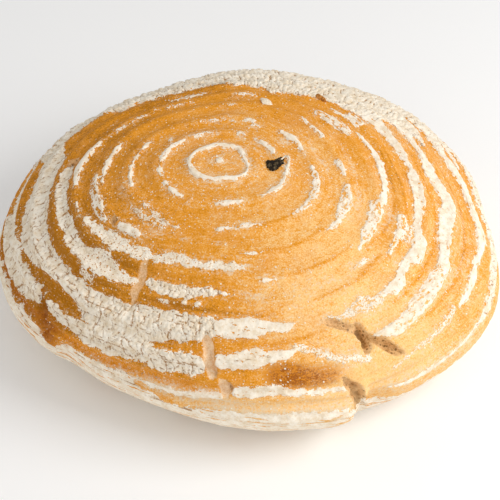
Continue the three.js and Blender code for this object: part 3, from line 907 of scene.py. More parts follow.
@dataclass
class CrustMap:
    """Everything that varies over the crust: form, flour, browning with painted shade in the valleys, and
    tears.
    """

    form: LoafForm
    patches: list[FlourPatch] = field(default_factory=flour_patches)
    noise: ValueNoise = field(default_factory=lambda: ValueNoise(11))
    cells: ValueNoise = field(default_factory=lambda: ValueNoise(29))
    tear_steps: int = 28
    coarse_length: float = 7.0
    ragged_length: float = 2.4
    lump_length: float = 2.6
    lump_share: float = 0.55
    bake_length: float = 16.0
    bake_noise: float = 0.3
    valley_shade_share: float = 0.75
    valley_shade_width: float = 0.9
    near_dust: float = 0.4
    near_reach: float = 2.5
    patch_reach: float = 6.0
    patch_rings: float = 0.5
    pole_rings: float = 1.3
    blister: float = 0.22
    slab: tuple[float, float] = (7.0, 5.6)
    chip: tuple[float, float] = (2.7, 2.3)
    bend: float = 0.75
    bend_length: float = 2.6
    slow_bend: float = 1.6
    slow_length: float = 9.0
    shown_length: float = 11.0
    tear_reach: float = 9.0
    tear_rings: float = 1.2
    block_radius: float = 92.0
    block_ring: float = 12.0
    far: float = 6.0

    def fields(self, degrees: Array, ring: Array) -> Fields:
        """Work out every field at places.

        Args:
            degrees: Azimuths.
            ring: Ring numbers.

        Returns:
            The fields, with points and normals of the bare crust.
        """
        points, normals = self.form.skin(degrees, ring)
        per_ring, per_degree = self.form.spacing(degrees, ring)
        coarse = self.noise.many(points, self.coarse_length, 3)
        ragged = self.noise.many(points + 50.0, self.ragged_length, 2)
        margin = np.full(len(ring), -self.far)
        wear = np.zeros(len(ring))
        powder = np.full(len(ring), 0.7)
        thick = np.full(len(ring), 0.4)
        lumps = self.cells.many(points, self.lump_length, 2)
        cracks = np.zeros(len(ring))
        for patch in self.patches:
            look = LOOKS[patch.finish]
            _, upper, lower = patch.columns()
            turn, half = patch.beside(degrees)
            near = (np.abs(turn) < half + self.patch_reach) | (ring < self.pole_rings)
            near &= (ring > upper.min() - self.patch_rings) & (ring < lower.max() + self.patch_rings)
            if not near.any():
                continue
            found = patch.margin(degrees[near], ring[near], per_ring[near], per_degree[near])
            found = found + look.ragged * (0.55 * coarse[near] + 0.75 * ragged[near])
            better = found > margin[near]
            index = np.flatnonzero(near)[better]
            margin[index] = found[better]
            wear[index] = look.wear
            powder[index] = look.powder
            thick[index] = look.thick * (1 + self.lump_share * lumps[index])
            cracks[index] = look.cracks
        cracks = cracks * (1 - smooth(ring, 11.2, 12.0))
        crack = self.crack_distance(points, degrees, ring, cracks)
        crack = np.minimum(crack, self.groove_distance(points, degrees, ring, per_ring))
        hollow, crumb, raw_and_wall_shade = self.tears(points, degrees, ring)
        margin = margin - 5.0 * smooth(hollow, 0.3, 1.2) * (1 - 0.6 * smooth(raw_and_wall_shade, 0.5, 0.0))
        bake = sum(blob.at(degrees, ring) for blob in BAKE)
        bake = bake + self.bake_noise * self.noise.many(points, self.bake_length, 3)
        # Painted shade: the browning value is lowered in the valleys between the rings.
        bake = bake - self.valley_shade_share * self.painted_valley_shade(points, degrees, ring, per_ring)
        toast = sum(blob.at(degrees, ring) for blob in TOAST)
        haze = sum(blob.at(degrees, ring) for blob in HAZE)
        near_flour = self.near_dust * np.exp(np.minimum(margin, 0.0) / self.near_reach)
        haze = np.clip(haze + near_flour * (margin < 0.5), 0, 1)
        blister = self.blister * (self.noise.many(points, 3.2, 2) + 0.6 * self.noise.one(points, 9.0))
        points = points + normals * ((blister - hollow) * smooth(points[:, 2], 0.0, 4.0))[:, None]
        return Fields(
            points, normals, np.clip(margin, -self.far, self.far), crack, wear, powder, thick, bake,
            toast, haze, crumb, raw_and_wall_shade, hollow, ring * self.block_ring,
        )

    def crack_distance(self, points: Array, degrees: Array, ring: Array, cracks: Array) -> Array:
        """Measure how far places are from the cracks of baked flour.

        Args:
            points: Places in the loaf's frame.
            degrees: Azimuths.
            ring: Ring numbers.
            cracks: How cracked the flour is, from 0 to 1.

        Returns:
            Millimetres to the nearest crack, FAR_FROM_CRACK where there is none.
        """
        distance = np.full(len(ring), FAR_FROM_CRACK)
        index = np.flatnonzero(cracks > 0)
        if not len(index):
            return distance
        place = points[index]
        slow = self.noise.many(place, self.slow_length, 2)
        shown = self.cells.many(place + 31.0, self.shown_length, 2)
        bend = np.stack([self.noise.many(place + shift, self.bend_length, 3) for shift in (70.0, 90.0)], -1)
        flat = np.stack([np.radians(degrees[index]) * self.block_radius, ring[index] * self.block_ring], -1)
        flat = flat + self.bend * bend + self.slow_bend * slow[:, None]
        wide = cell_edges(flat / np.array(self.slab)) * np.mean(self.slab)
        fine = cell_edges(flat / np.array(self.chip) + 40.5) * np.mean(self.chip)
        wide = wide + 0.5 * (1 - cracks[index]) + 0.25 * np.maximum(shown, 0.0)
        fine = fine + 0.1 + 0.7 * (1 - cracks[index]) + 0.4 * np.maximum(-shown - 0.1, 0.0)
        distance[index] = np.clip(np.minimum(wide, fine), 0.0, FAR_FROM_CRACK)
        return distance

    def painted_valley_shade(self, points: Array, degrees: Array, ring: Array, per_ring: Array) -> Array:
        """Find the valleys between the rings, where the crust is darkened as painted shade.

        Args:
            points: Places in the loaf's frame.
            degrees: Azimuths.
            ring: Ring numbers.
            per_ring: Millimetres for one ring.

        Returns:
            A share, 1 at the bottom of a valley and 0 away from it.
        """
        close = np.zeros(len(ring))
        for path in SHADED_VALLEYS:
            at, turn, level = follow(path, degrees)
            fade = smooth(turn, at[0] - 4, at[0] + 6) * (1 - smooth(turn, at[-1] - 6, at[-1] + 4))
            gap = (ring - level + 0.04 * self.noise.many(points, 14.0, 2)) * per_ring
            close = np.maximum(close, fade * np.exp(-((gap / self.valley_shade_width) ** 2)))
        return close

    def groove_distance(self, points: Array, degrees: Array, ring: Array, per_ring: Array) -> Array:
        """Measure how far places are from the hairlines that follow the rings.

        Args:
            points: Places in the loaf's frame.
            degrees: Azimuths.
            ring: Ring numbers.
            per_ring: Millimetres for one ring.

        Returns:
            Millimetres to the nearest hairline, FAR_FROM_CRACK where there is none.
        """
        distance = np.full(len(ring), FAR_FROM_CRACK)
        for path in HAIRLINES:
            at, turn, level = follow(path, degrees)
            index = np.flatnonzero((turn >= at[0]) & (turn <= at[-1]))
            if not len(index):
                continue
            near = points[index]
            wander = 0.06 * self.noise.many(near, 12.0, 3)
            gap = np.abs(ring[index] - level[index] - wander) * per_ring[index]
            gap = gap + 0.7 * np.maximum(self.cells.many(near, 6.0, 2) - 0.15, 0.0)
            gap = gap + 0.16 * smooth(turn[index], -50, -40)
            distance[index] = np.minimum(distance[index], gap)
        return distance

    def tears(self, points: Array, degrees: Array, ring: Array) -> tuple[Array, Array, Array]:
        """Work out the hollows of the tears.

        Args:
            points: Places in the loaf's frame.
            degrees: Azimuths.
            ring: Ring numbers.

        Returns:
            Depth below the skin, how much of the inside shows and how raw it is, both from 0 to 1; on the
            right walls of the grooves the raw crumb colour is painted shade.
        """
        hollow = np.zeros(len(points))
        crumb = np.zeros(len(points))
        raw_and_wall_shade = np.zeros(len(points))
        for tear in TEARS:
            share = np.linspace(0.0, 1.0, self.tear_steps)
            knots = np.linspace(0.0, 1.0, len(tear.path))
            along, out = (np.interp(share, knots, values) for values in np.array(tear.path, float).T)
            line, _ = self.form.skin(along, out)
            near = np.abs(wrapped(degrees - along.mean())) < np.ptp(along) / 2 + self.tear_reach
            near &= (ring > out.min() - self.tear_rings) & (ring < out.max() + self.tear_rings)
            index = np.flatnonzero(near)
            if not len(index):
                continue
            gaps = np.linalg.norm(points[index, None, :] - line[None], axis=2)
            closest = gaps.argmin(axis=1)
            full = np.sin(np.pi * np.clip(share, 0.02, 0.98)) ** tear.fullness
            edge = tear.half * full[closest]
            edge = edge * (1 + tear.wobble * self.noise.many(points[index] + 9.0, 4.5, 2))
            gap = gaps[np.arange(len(index)), closest] / np.maximum(edge, 0.05)
            depth = tear.depth * full[closest] * np.sqrt(np.maximum(1 - gap**2, 0.0))
            depth = depth * (1 + 0.3 * self.noise.many(points[index], 3.0, 2))
            hollow[index] = np.maximum(hollow[index], depth)
            shown = tear.shown * (1 - smooth(gap, 0.5 + 0.35 * tear.shown, 1.15))
            raw_and_wall_shade[index] = np.where(shown > crumb[index], tear.raw_and_wall_shade, raw_and_wall_shade[index])
            crumb[index] = np.maximum(crumb[index], shown)
        return hollow, crumb, raw_and_wall_shade


# Meshes of the crust and the flour

@dataclass
class MeshParts:
    """A mesh in the making: points in millimetres, faces and values at the points."""

    points: Array
    quads: Array
    triangles: Array
    values: dict[str, Array]

    def build(self, name: str, material: bpy.types.Material) -> bpy.types.Object:
        """Make the piece.

        Args:
            name: Name of the piece.
            material: What it is made of.

        Returns:
            The piece, at the origin and linked to the scene.
        """
        mesh = bpy.data.meshes.new(name)
        loops = np.concatenate([self.quads.ravel(), self.triangles.ravel()]).astype(np.int32)
        sizes = np.concatenate([np.full(len(self.quads), 4), np.full(len(self.triangles), 3)])
        starts = np.concatenate([[0], np.cumsum(sizes)[:-1]]).astype(np.int32)
        mesh.vertices.add(len(self.points))
        mesh.vertices.foreach_set("co", (self.points * METRES).astype(np.float32).ravel())
        mesh.loops.add(len(loops))
        mesh.loops.foreach_set("vertex_index", loops)
        mesh.polygons.add(len(sizes))
        mesh.polygons.foreach_set("loop_start", starts)
        mesh.polygons.foreach_set("use_smooth", np.ones(len(sizes), dtype=bool))
        mesh.update(calc_edges=True)
        mesh.validate()
        for key, value in self.values.items():
            layer = mesh.attributes.new(key, "FLOAT", "POINT")
            layer.data.foreach_set("value", np.asarray(value, np.float32))
        mesh.materials.append(material)
        piece = bpy.data.objects.new(name, mesh)
        bpy.context.scene.collection.objects.link(piece)
        triangles = 2 * len(self.quads) + len(self.triangles)
        LOG.info("%s: %d points, %d triangles", name, len(self.points), triangles)
        return piece


def shown_values(found: Fields) -> dict[str, Array]:
    """Return the values that the bread's material reads."""
    return {name: getattr(found, name) for name in SHOWN}


@dataclass
class Crust:
    """The whole closed crust, on a polar grid whose columns double outwards."""

    chart: CrustMap
    columns: int = 204
    inner: float = 1.5
    middle: float = 4.0
    outer: float = 11.6
    crowding: float = 0.85
    rows: tuple[int, int, int, int] = (19, 33, 75, 24)
    thick_share: float = 0.8

    def ring_rows(self) -> list[tuple[float, int]]:
        """Lay out the rows of the grid, closest together where the forms are finest.

        Returns:
            The ring number and the column count of each row below the pole.
        """
        first = [(ring, 1) for ring in np.linspace(0, self.inner, self.rows[0] + 1)[1:]]
        second = [(ring, 2) for ring in np.linspace(self.inner, self.middle, self.rows[1] + 1)[1:]]
        third = [(ring, 4) for ring in np.linspace(self.middle, self.outer, self.rows[2] + 1)[1:]]
        share = np.linspace(0, 1, self.rows[3] + 1)[1:]
        last = [(self.outer + (LAST_RING - self.outer) * part**self.crowding, 4) for part in share]
        return [(float(ring), self.columns * times) for ring, times in first + second + third + last]

    def parts(self) -> MeshParts:
        """Build the crust from the pole down to the flat base.

        Returns:
            The closed mesh, with the values that its material reads.
        """
        rows = self.ring_rows()
        degrees = [np.zeros(1)]
        rings = [np.zeros(1)]
        starts = []
        total = 1
        for ring, count in rows:
            starts.append(total)
            total += count
            degrees.append(np.arange(count) * 360.0 / count - 180.0)
            rings.append(np.full(count, ring))
        found = self.chart.fields(np.concatenate(degrees), np.concatenate(rings))
        lift = flour_height(found) * self.thick_share
        lift = np.maximum(lift, 0.0) * smooth(found.points[:, 2], 0.0, 5.0)
        points = found.points + found.normals * lift[:, None]
        points[starts[-1]:, 2] = 0.0
        points[:, 2] = np.maximum(points[:, 2], 0.0)
        quads = []
        first = np.arange(rows[0][1])
        triangles = [np.stack([np.zeros_like(first), 1 + first, 1 + (first + 1) % len(first)], -1)]
        for (_, count), start, (_, below), start_below in zip(rows, starts, rows[1:], starts[1:]):
            here = np.arange(count)
            after = (here + 1) % count
            if below == count:
                lower = start_below + here
                quads.append(np.stack([start + here, lower, start_below + after, start + after], -1))
                continue
            left = start_below + 2 * here
            middle = left + 1
            right = start_below + (2 * here + 2) % below
            triangles.append(np.stack([start + here, left, middle], -1))
            triangles.append(np.stack([start + here, middle, start + after], -1))
            triangles.append(np.stack([start + after, middle, right], -1))
        count = rows[-1][1]
        here = starts[-1] + np.arange(count)
        base = np.array([[*self.chart.form.body_centre, 0.0]])
        points = np.concatenate([points, base])
        triangles.append(np.stack([np.full(count, total), np.roll(here, -1), here], -1))
        values = {key: np.append(value, value[-1]) for key, value in shown_values(found).items()}
        return MeshParts(points, np.concatenate(quads), np.concatenate(triangles), values)


def flour_height(found: Fields) -> Array:
    """Find the top of the flour.

    Args:
        found: The fields at the places.

    Returns:
        Millimetres above the bare crust, negative outside the flour.
    """
    inside = smooth(found.margin, -0.6, 0.6)
    height = -0.35 + (0.35 + found.thick) * inside
    cracked = 1 - smooth(found.crack, 0.1, 0.55)
    return np.where(height > 0, height * (1 - 0.85 * cracked), height)


@dataclass
class FlourSheet:
    """The flour of one ring as a thin closed sheet that dives into the crust at its edges."""

    chart: CrustMap
    ring: int
    cell: float = 0.5
    under: float = 0.75
    dive: float = -0.3
    border: float = 0.12
    spare_rings: float = 0.3
    spare_degrees: float = 3.0
    samples: int = 25

    def parts(self) -> MeshParts:
        """Lay a grid over the ring and keep its cells that hold flour.

        Returns:
            The closed mesh, with the values that its material reads.
        """
        patches = [patch for patch in self.chart.patches if patch.ring == self.ring]
        inner = min(patch.columns()[1].min() for patch in patches) - self.border
        outer = max(patch.columns()[2].max() for patch in patches) + self.border
        inner = max(inner, self.border)
        sample = np.linspace(-180, 180, self.samples)
        middle = np.full(self.samples, (inner + outer) / 2)
        per_ring, per_degree = self.chart.form.spacing(sample, middle)
        columns = int(360 * per_degree.mean() / self.cell)
        rows = int((outer - inner) * per_ring.mean() / self.cell) + 2
        ring, degrees = np.meshgrid(
            np.linspace(inner, outer, rows), np.arange(columns) * 360.0 / columns - 180.0, indexing="ij"
        )
        flat_degrees = degrees.ravel()
        flat_ring = ring.ravel()
        close = self.near(patches, flat_degrees, flat_ring)
        found = self.chart.fields(flat_degrees[close], flat_ring[close])
        height = flour_height(found)
        keep = np.zeros(len(flat_ring), bool)
        keep[np.flatnonzero(close)[height > self.dive]] = True
        keep = keep.reshape(rows, columns)
        after = np.roll(keep, -1, axis=1)
        cells = keep[:-1] & keep[1:] & after[:-1] & after[1:]
        return self.sheet(cells, close, found, height, rows, columns)

    def near(self, patches: list[FlourPatch], degrees: Array, ring: Array) -> Array:
        """Find the places close to the ring's patches.

        Args:
            patches: The ring's patches.
            degrees: Azimuths.
            ring: Ring numbers.

        Returns:
            Whether each place is close to one of them.
        """
        near = np.zeros(len(ring), bool)
        for patch in patches:
            at, upper, lower = patch.columns()
            turn, half = patch.beside(degrees)
            held = np.clip((at[0] + at[-1]) / 2 + turn, at[0], at[-1])
            within = ring > np.interp(held, at, upper) - self.spare_rings
            within &= ring < np.interp(held, at, lower) + self.spare_rings
            near |= within & (np.abs(turn) < half + self.spare_degrees)
        return near

    def sheet(
        self, cells: Array, close: Array, found: Fields, height: Array, rows: int, columns: int
    ) -> MeshParts:
        """Close the kept cells with an underside and sides.

        Args:
            cells: Which cells are kept.
            close: Which places of the grid were worked out.
            found: The fields at those places.
            height: Height of the flour at those places.
            rows: Rows of the grid.
            columns: Columns of the grid.

        Returns:
            The closed mesh.
        """
        number = np.full(rows * columns, -1)
        number[close] = np.arange(close.sum())
        number = number.reshape(rows, columns)
        row, column = np.nonzero(cells)
        beside = (column + 1) % columns
        corners = np.stack([
            number[row, column], number[row + 1, column], number[row + 1, beside], number[row, beside],
        ], -1)
        used, flat = np.unique(corners, return_inverse=True)
        top = flat.reshape(corners.shape)
        count = len(used)
        pad = np.pad(cells, ((1, 1), (0, 0)))
        sides = []
        for turn, (step_row, step_column) in enumerate(((0, -1), (1, 0), (0, 1), (-1, 0))):
            open_side = ~np.roll(pad, -step_column, axis=1)[row + 1 + step_row, column]
            first = top[open_side, turn]
            second = top[open_side, (turn + 1) % 4]
            sides.append(np.stack([second, first, first + count, second + count], -1))
        points = found.points[used]
        normals = found.normals[used]
        upper = points + normals * height[used, None]
        lower = points + normals * np.minimum(height[used] - 0.3, -self.under)[:, None]
        quads = np.concatenate([top, top[:, ::-1] + count, *sides])
        values = {key: np.tile(value[used], 2) for key, value in shown_values(found).items()}
        return MeshParts(np.concatenate([upper, lower]), quads, np.zeros((0, 3), int), values)


# Materials

@dataclass
class ShaderTree:
    """A material's node tree, written as expressions."""

    material: bpy.types.Material

    @staticmethod
    def start(name: str) -> ShaderTree:
        """Make a material with an empty node tree.

        Args:
            name: Name of the material.

        Returns:
            Its tree.
        """
        material = bpy.data.materials.new(name)
        material.use_nodes = True
        material.node_tree.nodes.clear()
        return ShaderTree(material)

    def finish(
        self, colour: Expression, rough: Any, shine: float, height: Expression, bump: tuple[float, float]
    ) -> bpy.types.Material:
        """Add the surface and the output.

        Args:
            colour: Its colour.
            rough: Its roughness.
            shine: Its specular level.
            height: What its bumps follow.
            bump: Strength of the bumps, and their height in metres.

        Returns:
            The finished material.
        """
        strength, distance = bump
        bumps = self.node("ShaderNodeBump", None, Strength=strength, Distance=distance, Height=height)
        shader = self.node("ShaderNodeBsdfPrincipled", None, Base_Color=colour, Roughness=rough)
        self.feed(shader.inputs["Specular IOR Level"], shine)
        self.feed(shader.inputs["Normal"], self.out(bumps))
        output = self.node("ShaderNodeOutputMaterial")
        self.material.node_tree.links.new(shader.outputs[0], output.inputs[0])
        return self.material

    def node(self, kind: str, settings: dict[str, Any] | None = None, **inputs: Any) -> bpy.types.Node:
        """Add a node.

        Args:
            kind: Type name of the node.
            settings: Properties, set before the inputs.
            **inputs: Values or expressions for the inputs, by name with _ for a space.

        Returns:
            The node.
        """
        made = self.material.node_tree.nodes.new(kind)
        for key, value in (settings or {}).items():
            setattr(made, key, value)
        for key, value in inputs.items():
            self.feed(made.inputs[key.replace("_", " ")], value)
        return made

    def feed(self, socket: bpy.types.NodeSocket, value: Any) -> None:
        """Link an expression to an input, or set a constant on it.

        Args:
            socket: The input.
            value: The expression or the constant.
        """
        if isinstance(value, Expression):
            self.material.node_tree.links.new(value.socket, socket)
        else:
            socket.default_value = value

    def out(self, node: bpy.types.Node, name: str | int = 0) -> Expression:
        """Return one output of a node as an expression."""
        return Expression(self, node.outputs[name])

    def value(self, name: str) -> Expression:
        """Return a value stored at the mesh's points."""
        return self.out(self.node("ShaderNodeAttribute", {"attribute_name": name}), "Fac")

    def millimetres(self) -> Expression:
        """Return the place on the object in millimetres."""
        place = self.out(self.node("ShaderNodeTexCoord"), "Object")
        return self.vector("MULTIPLY", place, (1000.0, 1000.0, 1000.0))

    def vector(self, operation: str, first: Any, second: Any) -> Expression:
        """Add a vector maths node.

        Args:
            operation: Operation of the node.
            first: First vector.
            second: Second vector.

        Returns:
            Its result.
        """
        made = self.node("ShaderNodeVectorMath", {"operation": operation})
        self.feed(made.inputs[0], first)
        self.feed(made.inputs[1], second)
        return self.out(made)

    def noise(self, place: Expression, length: float, detail: float = 2.0, rough: float = 0.5) -> Expression:
        """Return noise between 0 and 1.

        Args:
            place: Where it is read, in millimetres.
            length: Size of its largest grains in millimetres.
            detail: How many finer octaves it has.
            rough: How strong the finer octaves are.

        Returns:
            The noise.
        """
        made = self.node(
            "ShaderNodeTexNoise", None, Vector=place, Scale=1.0 / length, Detail=detail, Roughness=rough
        )
        return self.out(made, 0)

    def streaks(self, place: Expression, length: float, across: float, rough: float) -> Expression:
        """Return noise between 0 and 1 that is drawn out along the rings.

        Args:
            place: Where it is read, in millimetres.
            length: Size of its grains along the rings in millimetres.
            across: Size of its grains across the rings in millimetres.
            rough: How strong the finer octaves are.

        Returns:
            The noise.
        """
        made = self.node(
            "ShaderNodeTexNoise", {"noise_dimensions": "4D"}, Vector=place, Scale=1.0 / length,
            W=self.value("out") * (length / across), Detail=3.0, Roughness=rough,
        )
        return self.out(made, 0)

    def cells(self, place: Expression, length: float) -> tuple[Expression, Expression]:
        """Scatter spots in space.

        Args:
            place: Where it is read, in millimetres.
            length: Distance between spots in millimetres.

        Returns:
            The distance to the nearest spot, and an even draw for each spot.
        """
        made = self.node("ShaderNodeTexVoronoi", None, Vector=place, Scale=1.0 / length)
        parts = self.node("ShaderNodeSeparateColor", None, Color=self.out(made, "Color"))
        return self.out(made, "Distance"), self.out(parts)

    def ease(self, value: Any, low: Any, high: Any) -> Expression:
        """Ease a value from 0 to 1 between two limits.

        Args:
            value: What is eased.
            low: Where the step starts.
            high: Where the step is complete.

        Returns:
            The eased share.
        """
        settings = {"interpolation_type": "SMOOTHSTEP", "clamp": True}
        made = self.node("ShaderNodeMapRange", settings)
        for index, part in enumerate((value, low, high, 0.0, 1.0)):
            self.feed(made.inputs[index], part)
        return self.out(made)

    def blend(self, share: Any, first: Any, second: Any) -> Expression:
        """Mix two colours.

        Args:
            share: Share of the second colour.
            first: First colour.
            second: Second colour.

        Returns:
            The mixed colour.
        """
        made = self.node("ShaderNodeMix", {"data_type": "RGBA", "clamp_factor": True})
        colours = [part if isinstance(part, Expression) else (*part, 1.0) for part in (first, second)]
        self.feed(made.inputs[0], share)
        self.feed(made.inputs[6], colours[0])
        self.feed(made.inputs[7], colours[1])
        return self.out(made, 2)


def maths(operation: str, swapped: bool = False) -> Callable[[Expression, Any], Expression]:
    """Make an operator of an expression.

    Args:
        operation: Operation of the maths node.
        swapped: Whether the other value comes first.

    Returns:
        A method that adds the maths node.
    """
    def apply(self: Expression, other: Any) -> Expression:
        """Add the maths node and return its result."""
        first, second = (other, self) if swapped else (self, other)
        return self.math(operation, first, second)

    return apply


@dataclass
class Expression:
    """One output socket, with arithmetic that adds maths nodes."""

    tree: ShaderTree
    socket: bpy.types.NodeSocket

    def math(self, operation: str, first: Any, second: Any = 0.0) -> Expression:
        """Add a maths node.

        Args:
            operation: Operation of the node.
            first: First value.
            second: Second value.

        Returns:
            Its result.
        """
        made = self.tree.node("ShaderNodeMath", {"operation": operation})
        self.tree.feed(made.inputs[0], first)
        self.tree.feed(made.inputs[1], second)
        return self.tree.out(made)

    __add__ = maths("ADD")
    __radd__ = maths("ADD", swapped=True)
    __sub__ = maths("SUBTRACT")
    __rsub__ = maths("SUBTRACT", swapped=True)
    __mul__ = maths("MULTIPLY")
    __rmul__ = maths("MULTIPLY", swapped=True)
    __truediv__ = maths("DIVIDE")
    highest = maths("MAXIMUM")
    lowest = maths("MINIMUM")


@dataclass(frozen=True)
class BreadFinish:
    """Colours and grain of the crust, its flour and its torn crumb; the darker crumb and pore colours also
    paint shade in the tears.

    A noise is its length in millimetres, its octaves and its roughness. Streaks are their length
    along the rings, their width across them and their roughness. Spots are millimetres apart.
    """

    deep: tuple = srgb(176, 110, 0)
    mid: tuple = srgb(230, 150, 32)
    pale: tuple = srgb(246, 199, 130)
    sand: tuple = srgb(253, 222, 168)
    blush: tuple = srgb(228, 176, 126)
    brown: tuple = srgb(150, 80, 12)
    toasted: tuple = srgb(204, 124, 36)
    flour: tuple = srgb(252, 243, 227)
    flour_shade: tuple = srgb(232, 212, 182)
    crack: tuple = srgb(164, 110, 42)
    groove: tuple = srgb(250, 224, 190)
    groove_dark: tuple = srgb(234, 192, 142)
    # Pores in the torn crumb, and painted shade deep in the hollows.
    pore: tuple = srgb(116, 82, 34)
    crumb: tuple = srgb(230, 188, 132)
    crumb_dark: tuple = srgb(180, 130, 72)
    roughness: float = 0.7
    shine: float = 0.16
    flour_roughness: float = 0.95
    bump: tuple[float, float] = (0.6, 0.0004)
    grain_noise: Triple = (0.9, 3.0, 0.62)
    mottle_noise: Triple = (4.0, 4.0, 0.62)
    slow_noise: Triple = (14.0, 2.0, 0.5)
    sand_noise: Triple = (0.7, 2.0, 0.6)
    speck_noise: Triple = (0.85, 2.0, 0.65)
    fleck_noise: Triple = (1.5, 4.0, 0.75)
    crust_streaks: Triple = (7.0, 1.3, 0.7)
    worn_noise: Triple = (1.9, 4.0, 0.7)
    worn_streaks: Triple = (6.0, 1.7, 0.65)
    heel_noise: Triple = (2.6, 4.0, 0.7)
    heel_streaks: Triple = (16.0, 3.2, 0.6)
    pore_spots: float = 1.9
    flake_spots: float = 2.3
    powder_spots: float = 0.8
    speck_spots: float = 2.1
    dot_spots: float = 1.05

    def material(self, name: str) -> bpy.types.Material:
        """Mix the crust and the flour into one material.

        Args:
            name: Name of the material.

        Returns:
            The material of the crust and its flour.
        """
        tree = ShaderTree.start(name)
        place = tree.millimetres()
        grain = tree.noise(place, *self.grain_noise)
        mottle = tree.noise(place, *self.mottle_noise)
        slow = tree.noise(place, *self.slow_noise)
        crust = self.crust(tree, place, grain, mottle, slow)
        flour = tree.blend(tree.ease(mottle + 0.5 * grain, 0.5, 0.95), self.flour_shade, self.flour)
        mask = self.flour_mask(tree, place, grain, mottle)
        crack = 1.0 - tree.ease(tree.value("crack") + 0.45 * (grain - 0.5), 0.1, 0.34)
        flour = tree.blend(crack * 0.85, flour, self.crack)
        colour = tree.blend(mask, crust, flour)
        rough = self.roughness + mask * (self.flour_roughness - self.roughness)
        height = 0.5 * grain + 0.4 * mottle + 0.7 * mask - 0.6 * crack * mask
        return tree.finish(colour, rough, self.shine, height, self.bump)

    def crust(
        self, tree: ShaderTree, place: Expression, grain: Expression, mottle: Expression, slow: Expression
    ) -> Expression:
        """Colour the bare crust with its dust, toast and crumb, with painted shade on the grooves' right
        walls and deep in the hollows.

        Args:
            tree: The material in the making.
            place: Where it is read, in millimetres.
            grain: Fine noise.
            mottle: Coarser noise.
            slow: Noise over wide patches.

        Returns:
            Its colour.
        """
        drawn = tree.streaks(place, *self.crust_streaks)
        sand = tree.noise(place, *self.sand_noise)
        # The browning value also carries the painted shade of the valleys between the rings.
        bake = tree.value("bake") + 1.3 * (mottle - 0.5) + 2.8 * (sand - 0.5) + 1.3 * (drawn - 0.5)
        colour = tree.blend(tree.ease(bake, -1.1, 0.1), self.deep, self.mid)
        colour = tree.blend(tree.ease(bake, 0.0, 1.1), colour, self.pale)
        speck = tree.noise(tree.vector("ADD", place, (9.0, 9.0, 9.0)), *self.speck_noise)
        golden = tree.ease(speck, 0.52, 0.68) * 0.55 * tree.ease(bake, -0.3, 0.6)
        colour = tree.blend(golden, colour, self.mid)
        sandy = (1.0 - tree.ease(speck, 0.32, 0.46)) * (0.12 + 0.4 * tree.ease(bake, 0.0, 0.9))
        colour = tree.blend(sandy, colour, self.sand)
        blush = tree.ease(slow + 0.3 * mottle, 0.62, 0.95)
        colour = tree.blend(blush * 0.25 * tree.ease(bake, -0.8, 0.2), colour, self.blush)
        baked = tree.value("toast")
        toast = baked * (0.5 + 1.6 * (mottle - 0.5) + 2.2 * (sand - 0.5) + 0.9 * (grain - 0.5))
        colour = tree.blend(tree.ease(baked, 0.15, 0.8) * 0.55, colour, self.toasted)
        colour = tree.blend(tree.ease(toast, 0.1, 0.9) * 0.9, colour, self.brown)
        fleck = tree.noise(place, *self.fleck_noise)
        dust = tree.value("haze") + 3.0 * (fleck - 0.5) + 1.2 * (drawn - 0.5)
        colour = tree.blend(tree.ease(dust, 0.3, 1.15) * 0.8, colour, self.flour_shade)
        torn = tree.blend(tree.ease(grain + mottle, 0.72, 1.1), self.crumb_dark, self.crumb)
        pore, pick = tree.cells(place, self.pore_spots)
        hole = (1.0 - tree.ease(pore, 0.2, 0.42)) * tree.ease(pick, 0.45, 0.5)
        torn = tree.blend(hole * 0.85, torn, self.pore)
        # Painted shade: the torn crumb darkens towards the pore colour where the hollow is deeper than 3.2
        # mm.
        deep = tree.ease(tree.value("hollow"), 3.2, 5.5)
        torn = tree.blend(deep * 0.6, torn, self.pore)
        scraped = tree.blend(tree.ease(0.6 * sand + 0.4 * mottle, 0.4, 0.62), self.groove_dark, self.groove)
        # The darker raw crumb against the pale scraped groove is painted shade on the grooves' right walls;
        # elsewhere it is the torn inside.
        torn = tree.blend(tree.value("raw_and_wall_shade"), scraped, torn)
        return tree.blend(tree.ease(tree.value("crumb") + 0.35 * (grain - 0.5), 0.05, 0.85), colour, torn)

    def flour_mask(
        self, tree: ShaderTree, place: Expression, grain: Expression, mottle: Expression
    ) -> Expression:
        """Work out where the flour covers the crust.

        Args:
            tree: The material in the making.
            place: Where it is read, in millimetres.
            grain: Fine noise.
            mottle: Coarser noise.

        Returns:
            How much flour covers the crust, from 0 to 1.
        """
        powder = tree.value("powder")
        _, flake = tree.cells(place, self.flake_spots)
        edge = tree.value("margin") + 1.2 * (grain - 0.5) + 0.8 * (mottle - 0.5) + 1.3 * (flake - 0.5)
        close, _ = tree.cells(place, self.powder_spots)
        steep = 2.4 - 2.05 * powder
        size = (0.32 + steep * edge).lowest(1.2 - 0.62 * powder)
        sheet = tree.ease(size - close, -0.04, 0.1)
        low = tree.ease(tree.value("out"), 128.0, 140.0)
        patchy = 0.5 * tree.noise(place, *self.worn_noise) + 0.5 * tree.streaks(place, *self.worn_streaks)
        broad = 0.25 * tree.noise(place, *self.heel_noise) + 0.75 * tree.streaks(place, *self.heel_streaks)
        patchy = patchy * (1.0 - low) + broad * low
        inner = tree.ease(edge, 0.35, 1.1)
        worn = tree.ease(patchy - 0.33 - 0.25 * tree.value("wear") * inner, -0.02, 0.02)
        haze = tree.value("haze") * (1.0 - 0.8 * tree.ease(tree.value("bake"), 0.1, 0.7))
        distance, draw = tree.cells(place, self.speck_spots)
        chosen = tree.ease(draw - (0.97 - 0.55 * haze), -0.01, 0.01)
        spot = (1.0 - tree.ease(distance + 0.5 * (grain - 0.5), 0.15, 0.23)) * chosen
        near, pick = tree.cells(tree.vector("ADD", place, (5.0, 5.0, 5.0)), self.dot_spots)
